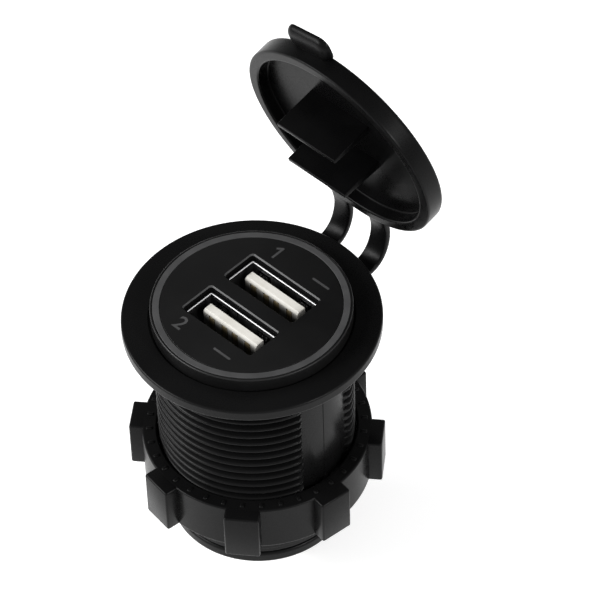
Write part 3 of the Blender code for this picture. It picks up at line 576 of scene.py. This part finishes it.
def makeTwo(x, y):
    # the near port's plain number, read along X
    p = panel
    name = "numberTwo"
    font = bpy.data.curves.new(name, "FONT")
    font.body = "2"
    font.size = p["markSize"]
    font.align_x = "CENTER"
    font.align_y = "CENTER"
    font.extrude = p["markHeight"] / 2
    font.offset = p["markStroke"]
    font.resolution_u = 8
    letters = bpy.data.objects.new(name, font)
    bpy.context.scene.collection.objects.link(letters)
    bpy.context.view_layer.update()
    mesh = bpy.data.meshes.new_from_object(letters.evaluated_get(bpy.context.evaluated_depsgraph_get()))
    bpy.data.objects.remove(letters)
    bm = bmesh.new()
    bm.from_mesh(mesh)
    bmesh.ops.remove_doubles(bm, verts=bm.verts, dist=mergeDistance)
    bmesh.ops.translate(bm, vec=(x, y, p["top"] + p["markHeight"] / 2), verts=bm.verts)
    bpy.data.meshes.remove(mesh)
    return finishPiece(bm, name, "greyPlasticAndPaintedHighlight", "socket")


def makeBar(name, x, y):
    # a plain printed bar beside each number
    p = panel
    bm = bmesh.new()
    size = (p["barLength"], p["barWidth"], p["markHeight"])
    roundedBlock(bm, size, (x, y, p["top"] + p["markHeight"] / 2), p["barWidth"] * p["barRounding"], 4)
    return finishPiece(bm, name, "greyPlasticAndPaintedHighlight", "socket")


makePanel()
makeRing()
makeOne(*panel["onePlace"])
makeTwo(*panel["twoPlace"])
for side, place in panel["barPlaces"].items():
    makeBar("bar" + side, *place)
print("face panel made")


# Ports

port = {
    "width": 0.0131, "height": 0.0055, "corner": 0.0004, "wall": 0.0003, "top": 0.0029, "bottom": -0.0101,
    "lipHeight": 0.00022, "lipWidth": 0.00035, "lipEdge": 0.00009,
    "tongueWidth": 0.0104, "tongueThickness": 0.0016, "tongueOffset": 0.0005, "tongueTop": 0.0025,
    "blockHeight": 0.0035, "gap": 0.0001, "tongueEdge": 0.0001, "tongueChamfer": 0.00035,
    "contacts": (-0.0035, -0.001, 0.001, 0.0035), "contactWidth": 0.001, "contactThickness": 0.00012,
    "contactTop": 0.0019, "contactRounding": 0.35, "contactEdge": 0.00002,
    "grooveOver": 0.001, "grooveDrop": 0.0004,
    "springSpread": 0.008, "springWidth": 0.0016, "springThickness": 0.0002,
    "slotHeight": 0.0064, "slotMiddle": -0.0013, "sleeveEdge": 0.00005, "blockEdge": 0.0001,
    # a spring leaf from its foot to its tip, as (distance from the wall, height)
    "springRoute": ((0, -0.0045), (0, -0.0038), (-0.0002, -0.0026), (-0.0005, -0.0008), (-0.0005, 0.0002),
                    (-0.0002, 0.0016)),
}


def openEnds(bm, wall):
    # a closed block becomes a sleeve with this wall
    ends = [f for f in bm.faces if abs(f.normal.z) > 0.9]
    bmesh.ops.delete(bm, geom=ends, context="FACES")
    bmesh.ops.recalc_face_normals(bm, faces=bm.faces)
    bmesh.ops.solidify(bm, geom=bm.faces, thickness=wall)


def makeShell(side, centre):
    p = port
    bm = bmesh.new()
    length = p["top"] - p["bottom"]
    middle = (p["top"] + p["bottom"]) / 2
    roundedBlock(bm, (p["width"], p["height"], length), (0, centre, middle), p["corner"], 4)
    openEnds(bm, p["wall"])
    # painted shade: the sleeve takes the darkened copy of the steel
    piece = finishPiece(
        bm, "portShell" + side, "paintedShadeSleeveSteel", "socket", ["port_shell_" + side.lower()]
    )
    slots = bmesh.new()
    wallY = centre + p["height"] / 2
    for direction in (-1, 1):
        x = direction * p["springSpread"] / 2
        size = (p["springWidth"] * 1.5, p["wall"] * 4, p["slotHeight"])  # wider than the leaf
        addBlock(slots, size, (x, wallY, p["slotMiddle"]))
    combineWith(piece, slots, "DIFFERENCE")
    softenPiece(piece, p["sleeveEdge"])
    return piece


def makeLip(side, centre):
    # the bright rolled edge round the shell's mouth, its brightness a painted highlight
    p = port
    bm = bmesh.new()
    middle = p["top"] - p["lipHeight"] / 2
    roundedBlock(bm, (p["width"], p["height"], p["lipHeight"]), (0, centre, middle), p["corner"], 5)
    openEnds(bm, p["lipWidth"])
    piece = finishPiece(bm, "portLip" + side, "paintedHighlightLipSteel", "socket")
    softenPiece(piece, p["lipEdge"], 4)
    return piece


def makeSprings(side, centre):
    # two leaves bent inwards from the far wall
    p = port
    wallY = centre + p["height"] / 2 - p["wall"] / 2
    route = p["springRoute"]
    bm = bmesh.new()
    for direction in (-1, 1):
        x = direction * p["springSpread"] / 2
        half = p["springWidth"] / 2
        first = [bm.verts.new((x - half, wallY + route[0][0], route[0][1])),
                 bm.verts.new((x + half, wallY + route[0][0], route[0][1]))]
        edge = bm.edges.new(first)
        for before, after in zip(route, route[1:]):
            grown = bmesh.ops.extrude_edge_only(bm, edges=[edge])["geom"]
            verts = [item for item in grown if isinstance(item, bmesh.types.BMVert)]
            bmesh.ops.translate(bm, vec=(0, after[0] - before[0], after[1] - before[1]), verts=verts)
            edge = [item for item in grown if isinstance(item, bmesh.types.BMEdge)
                    and all(v in verts for v in item.verts)][0]
    bmesh.ops.recalc_face_normals(bm, faces=bm.faces)
    bmesh.ops.solidify(bm, geom=bm.faces, thickness=p["springThickness"])
    return finishPiece(bm, "portSprings" + side, "shellSteel", "socket")


def makeTongue(side, centre):
    p = port
    innerWidth = p["width"] - 2 * p["wall"] - 2 * p["gap"]
    innerHeight = p["height"] - 2 * p["wall"] - 2 * p["gap"]
    bm = bmesh.new()
    size = (innerWidth, innerHeight, p["blockHeight"])
    addBlock(bm, size, (0, centre, p["bottom"] + p["blockHeight"] / 2), p["blockEdge"])
    piece = finishPiece(
        bm, "portTongue" + side, "tongueNylon", "socket", ["port_tongue_" + side.lower()]
    )
    plate = bmesh.new()
    near = centre + p["tongueOffset"] - p["tongueThickness"] / 2
    plateBottom = p["bottom"] + p["blockHeight"] / 2
    addBlock(
        plate, (p["tongueWidth"], p["tongueThickness"], p["tongueTop"] - plateBottom),
        (0, centre + p["tongueOffset"], (p["tongueTop"] + plateBottom) / 2),
    )
    tip = [
        e for e in plate.edges
        if all(abs(v.co.z - p["tongueTop"]) < hairline and abs(v.co.y - near) < hairline for v in e.verts)
    ]
    bmesh.ops.bevel(
        plate, geom=tip, offset=p["tongueChamfer"], segments=1, profile=0.5, affect="EDGES", material=-1
    )
    bmesh.ops.bevel(
        plate, geom=plate.edges[:], offset=p["tongueEdge"], segments=2, profile=0.5,
        affect="EDGES", material=-1,
    )
    combineWith(piece, plate, "UNION")
    grooves = bmesh.new()
    depth = p["contactThickness"] + p["gap"]
    size = (p["contactWidth"] + 2 * p["gap"], depth * 2, p["contactTop"] - p["bottom"] + p["grooveOver"])
    for x in p["contacts"]:
        addBlock(grooves, size, (x, near, (p["contactTop"] + p["bottom"]) / 2 - p["grooveDrop"]))
    combineWith(piece, grooves, "DIFFERENCE")
    return piece


def makeContacts(side, centre):
    # four strips in the tongue's grooves, with rounded tips
    p = port
    near = centre + p["tongueOffset"] - p["tongueThickness"] / 2
    bm = bmesh.new()
    for x in p["contacts"]:
        made = addBlock(
            bm, (p["contactWidth"], p["contactThickness"], p["contactTop"] - p["bottom"]),
            (x, near + p["contactThickness"] / 2, (p["contactTop"] + p["bottom"]) / 2),
        )
        corners = {
            e for v in made for e in v.link_edges
            if all(w.co.z > p["contactTop"] - hairline and abs(w.co.x - x) > hairline for w in e.verts)
            and abs(e.verts[0].co.y - e.verts[1].co.y) > hairline
        }
        bmesh.ops.bevel(
            bm, geom=list(corners), offset=p["contactWidth"] * p["contactRounding"], segments=5, profile=0.5,
            affect="EDGES", material=-1,
        )
    names = [f"{side.lower()}_contact_{number}" for number in (1, 2, 3, 4)]
    piece = finishPiece(bm, "portContacts" + side, "contactGold", "socket", names)
    softenPiece(piece, p["contactEdge"])
    return piece


for side, centre in portCentres.items():
    makeShell(side, centre)
    makeLip(side, centre)
    makeSprings(side, centre)
    makeTongue(side, centre)
    makeContacts(side, centre)
print("ports made")


# Ring nut

nut = {
    "top": -0.02156, "bottom": -0.02952, "ringRadius": 0.01673, "boreRadius": 0.01455, "edge": 0.00025,
    "lugRadius": 0.0185, "lugWidth": 0.00508, "lugCount": 8, "lugTurn": math.radians(-7.8),
    "lugEdge": 0.0003, "lugStep": 0.00001, "steps": 216,
    "ribs": 36, "ribTurn": math.radians(-3.4), "ribRadius": 0.01565, "ribLength": 0.001,
    "ribWidth": 0.0006, "ribHeight": 0.0002,
    "pitch": 0.0015, "plainLength": 0.0012, "firstGroove": 0.0008,
    # one inner groove, as (share of the pitch, depth)
    "grooveShape": ((0, 0), (0.4, 0.0005), (0.55, 0.0005), (0.95, 0)),
}


def makeNut():
    n = nut
    height = n["top"] - n["bottom"]
    bore = []
    for groove in range(int((height - n["plainLength"]) / n["pitch"])):
        low = n["bottom"] + n["firstGroove"] + groove * n["pitch"]
        for share, depth in n["grooveShape"]:
            bore.append((n["boreRadius"] + depth, low + n["pitch"] * share, 0))
    corners = [
        (n["boreRadius"], n["top"], n["edge"]), (n["ringRadius"], n["top"], n["edge"]),
        (n["ringRadius"], n["bottom"], n["edge"]), (n["boreRadius"], n["bottom"], n["edge"]),
    ]
    bm = bmesh.new()
    spinProfile(bm, roundedProfile(corners + bore, 3), n["steps"])
    root = (n["ringRadius"] + n["boreRadius"]) / 2
    size = (n["lugRadius"] - root, n["lugWidth"], height - n["lugStep"])
    centre = (root + size[0] / 2, 0, (n["top"] + n["bottom"] - n["lugStep"]) / 2)
    for number in range(n["lugCount"]):
        lug = addBlock(bm, size, centre, n["lugEdge"], 3)
        turnAbout(bm, lug, n["lugTurn"] + fullTurn * number / n["lugCount"])
    addRibs(bm)
    return finishPiece(bm, "ringNut", "housingPlastic", "nut", ["ring_nut"])


def addRibs(bm):
    # short radial ribs on the face that meets the dashboard, sunk in it for most of their height
    n = nut
    size = (n["ribLength"], n["ribWidth"], 3 * n["ribHeight"])
    for number in range(n["ribs"]):
        rib = addBlock(bm, size, (n["ribRadius"], 0, n["top"] - n["ribHeight"] / 2), n["ribHeight"], 3)
        turnAbout(bm, rib, n["ribTurn"] + fullTurn * number / n["ribs"])


makeNut()
print("nut made")


# Rear cap and terminals

cap = {
    "radius": 0.0132, "top": -0.0355, "bottom": -0.0375, "edge": 0.0005, "skirtRadius": 0.0121,
    "skirtInner": 0.0109, "skirtTop": -0.0313, "skirtInnerEdge": 0.0001, "skirtOuterEdge": 0.0002,
    "slotWidth": 0.0065, "slotThickness": 0.001, "slotSpread": 0.0105, "slotDepth": 0.006, "steps": 144,
}
terminal = {"edge": 0.00012, "flatAngle": math.radians(2)}


def makeCap():
    c = cap
    corners = [
        (0, c["top"], 0), (c["skirtInner"], c["top"], 0),
        (c["skirtInner"], c["skirtTop"], c["skirtInnerEdge"]),
        (c["skirtRadius"], c["skirtTop"], c["skirtOuterEdge"]), (c["skirtRadius"], c["top"], 0),
        (c["radius"], c["top"], c["edge"]), (c["radius"], c["bottom"], c["edge"]), (0, c["bottom"], 0),
    ]
    bm = bmesh.new()
    spinProfile(bm, roundedProfile(corners), c["steps"], closed=False)
    piece = finishPiece(bm, "rearCap", "housingPlastic", "socket", ["rear_cap"])
    slots = bmesh.new()
    for direction in (-1, 1):
        addBlock(
            slots, (c["slotWidth"], c["slotThickness"], c["slotDepth"]),
            (direction * c["slotSpread"] / 2, 0, (c["top"] + c["bottom"]) / 2),
        )
    combineWith(piece, slots, "DIFFERENCE")
    return piece


def makeTerminal(name, newName):
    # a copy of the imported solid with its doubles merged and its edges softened
    bm = bmesh.new()
    bm.from_mesh(nodes[name].data)
    bmesh.ops.remove_doubles(bm, verts=bm.verts, dist=hairline)
    bmesh.ops.dissolve_limit(bm, angle_limit=terminal["flatAngle"], verts=bm.verts, edges=bm.edges)
    piece = finishPiece(bm, newName, "tinnedBrass", nodes[name]["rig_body"], [name])
    softenPiece(piece, terminal["edge"])
    return piece


makeCap()
makeTerminal("terminal_positive", "bladePositive")
makeTerminal("terminal_negative", "bladeNegative")
print("rear made")


# Rubber cover: ring under the flange, two straps and the lid

cover = {
    "ringInner": 0.0138, "ringOuter": 0.017, "ringTop": -0.0003, "ringBottom": -0.0015, "ringEdge": 0.0003,
    "ringInnerEdge": 0.0001, "ringSteps": 144,
    "strapWidth": 0.0032, "strapSpacing": 0.0072, "strapThickness": 0.001, "strapEdge": 0.00028,
    "strapRoot": (0.0187, -0.0009), "strapRootBend": 0.486, "strapLidBend": 0.27, "strapOverrun": 0.0022,
    "strapSteps": 40,
    "lidRadius": 0.0168, "lidWall": 0.0018, "lidHeight": 0.0031, "lidTop": 0.0011, "lidEdge": 0.00045,
    "lidRimEdge": 0.0003, "lidSupport": 0.0002, "lidSteps": 180,
    "lidRim": 0.00205, "openAngle": math.radians(77), "hingeY": 0.02187, "hingeZ": 0.00098,
    "lidSeatRadius": 0.0177, "lidSeatDepth": 0.0006,
    "tabWidth": 0.008, "tabReach": 0.0033, "tabThickness": 0.0012, "tabCorner": 0.0016,
    "tabLowEdge": 0.0011, "tabTopEdge": 0.00007, "tabDrop": 0.0001, "tabTurn": math.radians(-11),
    "cornerAngle": math.radians(60),
    "bladeWidth": 0.0109, "bladeLength": 0.0071, "bladeNear": -0.00185, "bladeFar": -0.00045,
    "bladeTip": 0.00065, "bladeEdge": 0.0001, "bladeSink": 0.0006,
}


def openLid(bm):
    # turns the closed lid about its hinge to the open pose
    c = cover
    place = Matrix.Translation((0, c["hingeY"], c["hingeZ"]))
    turn = Matrix.Rotation(-c["openAngle"], 4, "X")
    offset = Matrix.Translation((0, -c["hingeY"], c["lidRim"] - c["hingeZ"]))
    bmesh.ops.transform(bm, matrix=place @ turn @ offset, verts=bm.verts)


def makeCoverRing():
    c = cover
    corners = [
        (c["ringInner"], c["ringTop"], c["ringInnerEdge"]), (c["ringOuter"], c["ringTop"], c["ringEdge"]),
        (c["ringOuter"], c["ringBottom"], c["ringEdge"]),
        (c["ringInner"], c["ringBottom"], c["ringInnerEdge"]),
    ]
    bm = bmesh.new()
    spinProfile(bm, roundedProfile(corners, 3), c["ringSteps"])
    return finishPiece(bm, "coverRing", "coverRubber", "socket", ["cover_ring"])


def addLidBlade(bm, centre):
    c = cover
    ceiling = c["lidHeight"] - c["lidTop"]
    top = ceiling + c["bladeSink"]
    tip = ceiling - c["bladeLength"]
    made = bmesh.ops.create_cube(bm, size=1)["verts"]
    taper = (c["bladeFar"] - c["bladeNear"] - c["bladeTip"]) / c["bladeLength"]
    for vert in made:
        atTop = vert.co.z > 0
        far = c["bladeFar"] + taper * c["bladeSink"] if atTop else c["bladeNear"] + c["bladeTip"]
        vert.co.x *= c["bladeWidth"]
        vert.co.y = centre + (far if vert.co.y > 0 else c["bladeNear"])
        vert.co.z = top if atTop else tip
    edges = list({e for v in made for e in v.link_edges})
    bmesh.ops.bevel(
        bm, geom=edges, offset=c["bladeEdge"], segments=3, profile=0.5, affect="EDGES", material=-1
    )


def makeLid():
    c = cover
    ceiling = c["lidHeight"] - c["lidTop"]
    inner = c["lidRadius"] - c["lidWall"]
    corners = [
        (0, c["lidHeight"], 0), (c["lidRadius"], c["lidHeight"], c["lidEdge"]),
        (c["lidRadius"], 0, c["lidRimEdge"]), (inner, 0, c["lidRimEdge"]), (inner, ceiling, c["lidRimEdge"]),
        (0, ceiling, 0),
    ]
    bm = bmesh.new()
    spinProfile(bm, roundedProfile(corners, 5, c["lidSupport"]), c["lidSteps"], closed=False)
    piece = finishPiece(bm, "lidCap", "coverRubber")
    tab = bmesh.new()
    tabInner = c["lidRadius"] - c["lidWall"] / 2
    length = c["lidRadius"] + c["tabReach"] - tabInner
    tabMiddle = c["lidHeight"] - c["tabDrop"] - c["tabThickness"] / 2
    size = (c["tabWidth"], length, c["tabThickness"])
    roundedBlock(tab, size, (0, -tabInner - length / 2, tabMiddle), c["tabCorner"], 8)
    for low, edge in ((True, c["tabLowEdge"]), (False, c["tabTopEdge"])):
        flat = [e for e in tab.edges if len(e.link_faces) == 2 and e.calc_face_angle() > c["cornerAngle"]
                and all((v.co.z < tabMiddle) == low for v in e.verts)]
        bmesh.ops.bevel(tab, geom=flat, offset=edge, segments=5, profile=0.5, affect="EDGES", material=-1)
    turnAbout(tab, tab.verts, c["tabTurn"])
    combineWith(piece, tab, "UNION")
    for centre in portCentres.values():
        blade = bmesh.new()
        addLidBlade(blade, centre)
        combineWith(piece, blade, "UNION")
    # painted shade: the lid's inner side, apart from the blades' tips, takes the darker, less glossy rubber
    piece.data.materials.append(materials["paintedShadeRubber"])
    bm = bmesh.new()
    bm.from_mesh(piece.data)
    margin = c["bladeEdge"] / 5
    bladeTips = ceiling - c["bladeLength"] + c["bladeEdge"] * 1.1  # just past the tips' rounded edges
    for face in bm.faces:
        middle = face.calc_center_median()
        if middle.xy.length < inner + margin and bladeTips < middle.z < ceiling + margin:
            face.material_index = 1  # the inner side, apart from the blades' tips
    openLid(bm)
    bm.to_mesh(piece.data)
    bm.free()
    smoothWithEdges(piece.data)
    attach(piece, "lid")
    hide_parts("lid_cap")
    return piece


def strapPlace(share):
    # a point on the strap's middle line and the way it runs, in the Y and Z plane
    c = cover
    cosine = math.cos(c["openAngle"])
    sine = math.sin(c["openAngle"])
    seatY = c["lidSeatRadius"] - c["hingeY"]
    seatZ = c["lidRim"] + c["lidSeatDepth"] - c["hingeZ"]
    start = Vector(c["strapRoot"])
    end = Vector((c["hingeY"] + seatY * cosine + seatZ * sine, c["hingeZ"] - seatY * sine + seatZ * cosine))
    leave = Vector((1, 0))
    arrive = Vector((-cosine, sine))
    if share < 0:
        return start + leave * share * c["strapOverrun"], leave
    if share > 1:
        return end + arrive * (share - 1) * c["strapOverrun"], arrive
    chord = (end - start).length
    rootHandle = start + leave * chord * c["strapRootBend"]
    lidHandle = end - arrive * chord * c["strapLidBend"]
    handles = (start, rootHandle, lidHandle, end)
    rest = 1 - share
    weights = (rest ** 3, 3 * share * rest ** 2, 3 * share ** 2 * rest, share ** 3)
    slopes = (-3 * rest ** 2, 3 * rest * (1 - 3 * share), 3 * share * (2 - 3 * share), 3 * share ** 2)
    point = sum((h * w for h, w in zip(handles, weights)), Vector((0, 0)))
    along = sum((h * w for h, w in zip(handles, slopes)), Vector((0, 0)))
    return point, along.normalized()


def makeStrap(name, direction, node):
    # a straight block, then bent: along Y it runs from -1 to 2, and the free strap is from 0 to 1
    c = cover
    reach = 3
    bm = bmesh.new()
    addBlock(bm, (c["strapWidth"], reach, c["strapThickness"]), (0, 0.5, 0), c["strapEdge"], 3)
    for step in range(1, c["strapSteps"]):
        cut = -1 + reach * step / c["strapSteps"]
        bmesh.ops.bisect_plane(
            bm, geom=bm.verts[:] + bm.edges[:] + bm.faces[:], plane_co=(0, cut, 0), plane_no=(0, 1, 0)
        )
    for vert in bm.verts:
        point, along = strapPlace(vert.co.y)
        offset = Vector((-along.y, along.x)) * vert.co.z
        vert.co = (vert.co.x + direction * c["strapSpacing"] / 2, point.x + offset.x, point.y + offset.y)
    piece = finishPiece(bm, name, "coverRubber", stands=[node])
    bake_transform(piece)
    return piece


makeCoverRing()
makeLid()
makeStrap("strapLeft", -1, "strap_left")
makeStrap("strapRight", 1, "strap_right")
print("cover made")


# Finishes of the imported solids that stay

nodeFinishes = {
    "boardGreen": ["front_board", "converter_board"],
    "ferriteGrey": ["inductor_core"],
    "copperWire": ["inductor_winding"],
    "canAluminium": ["capacitor_1", "capacitor_2"],
    "chipResin": ["converter_chip", "port_chip", "diode", "fuse"],
}
for material, names in nodeFinishes.items():
    for name in names:
        nodes[name].data.materials.clear()
        nodes[name].data.materials.append(materials[material])
print("inner pieces finished")


# Floor, light and camera

studio = {
    "floorHeight": -0.0456, "floorSize": 3.0, "floorColour": 0.9, "floorRoughness": 0.9,
    "floorGlow": 0.5,
    "dimSide": (-0.5, 0.3, 0.81), "dimLight": 0.25, "openLight": 0.75, "dimRange": (0.25, 0.8),
    "lamps": {
        "keyLamp": {"power": 1.5, "size": 0.25, "place": (-0.36, -0.27, 0.27)},
        "leftLamp": {"power": 1.6, "size": 0.2, "place": (-0.22, -0.4, 0.26)},
        "rightLamp": {"power": 0.8, "size": 0.1, "place": (0.43, 0.04, 0.25)},
    },
}
view = {
    "azimuth": 45.33, "elevation": 47.18, "roll": -1.92, "focalPixels": 3744, "framePixels": 600,
    "sensor": 36, "distance": 0.528, "right": 0.006737, "up": 0.003161, "clipStart": 0.01,
}


def addShownRays(tree):
    # 1 for camera, glossy and transmission rays, 0 for the rays that light the object
    rays = tree.nodes.new("ShaderNodeLightPath")
    anyShown = rays.outputs["Is Camera Ray"]
    for ray in ("Is Glossy Ray", "Is Transmission Ray"):
        either = addNode(tree, "ShaderNodeMath")
        either.operation = "MAXIMUM"
        tree.links.new(anyShown, either.inputs[0])
        tree.links.new(rays.outputs[ray], either.inputs[1])
        anyShown = either.outputs["Value"]
    return anyShown


def makeWorld():
    # white all round, dim on the side that the upward faces mirror
    world = bpy.data.worlds.new("studioWorld")
    bpy.context.scene.world = world
    world.use_nodes = True
    tree = world.node_tree
    light = tree.nodes["Background"]
    light.inputs["Color"].default_value = (1, 1, 1, 1)
    facing = addNode(tree, "ShaderNodeVectorMath", {1: studio["dimSide"]})
    facing.operation = "DOT_PRODUCT"
    tree.links.new(tree.nodes.new("ShaderNodeTexCoord").outputs["Generated"], facing.inputs[0])
    low, high = studio["dimRange"]
    strength = addRange(tree, facing.outputs["Value"], studio["openLight"], studio["dimLight"], low, high)
    tree.links.new(strength, light.inputs["Strength"])


def makeFloor():
    material, tree, shader = newMaterial("paleFloor")
    shader.inputs["Base Color"].default_value = (studio["floorColour"],) * 3 + (1,)
    shader.inputs["Roughness"].default_value = studio["floorRoughness"]
    shader.inputs["Specular IOR Level"].default_value = 0.0
    shader.inputs["Emission Color"].default_value = (1, 1, 1, 1)
    glow = addNode(tree, "ShaderNodeMath", {1: studio["floorGlow"]})
    glow.operation = "MULTIPLY"
    tree.links.new(addShownRays(tree), glow.inputs[0])
    tree.links.new(glow.outputs["Value"], shader.inputs["Emission Strength"])
    bm = bmesh.new()
    bmesh.ops.create_grid(bm, x_segments=1, y_segments=1, size=studio["floorSize"] / 2)
    bmesh.ops.translate(bm, vec=(0, 0, studio["floorHeight"]), verts=bm.verts)
    mesh = bpy.data.meshes.new("floor")
    bm.to_mesh(mesh)
    bm.free()
    mesh.materials.append(material)
    floor = bpy.data.objects.new("floor", mesh)
    bpy.context.scene.collection.objects.link(floor)


def makeLamp(name, power, size, place):
    lamp = bpy.data.lights.new(name, "AREA")
    lamp.energy = power
    lamp.size = size
    holder = bpy.data.objects.new(name, lamp)
    holder.location = place
    holder.rotation_euler = (-Vector(place)).to_track_quat("-Z", "Y").to_euler()
    bpy.context.scene.collection.objects.link(holder)


def makeCamera():
    azimuth = math.radians(view["azimuth"])
    elevation = math.radians(view["elevation"])
    outward = Vector((math.sin(azimuth), -math.cos(azimuth), 0))
    back = outward * math.cos(elevation) + zAxis * math.sin(elevation)
    level = Vector((math.cos(azimuth), math.sin(azimuth), 0))
    roll = Matrix.Rotation(math.radians(view["roll"]), 3, back)
    right = roll @ level
    up = back.cross(right)
    place = back * view["distance"] + right * view["right"] + up * view["up"]
    camera = bpy.data.cameras.new("photoCamera")
    camera.sensor_width = view["sensor"]
    camera.lens = view["focalPixels"] / view["framePixels"] * view["sensor"]
    camera.clip_start = view["clipStart"]
    holder = bpy.data.objects.new("photoCamera", camera)
    bpy.context.scene.collection.objects.link(holder)
    holder.matrix_world = Matrix.Translation(place) @ Matrix((right, up, back)).transposed().to_4x4()
    bpy.context.scene.camera = holder


makeWorld()
makeFloor()
for name, lamp in studio["lamps"].items():
    makeLamp(name, lamp["power"], lamp["size"], lamp["place"])
makeCamera()
bpy.context.scene.view_settings.view_transform = "Standard"
print("studio made")
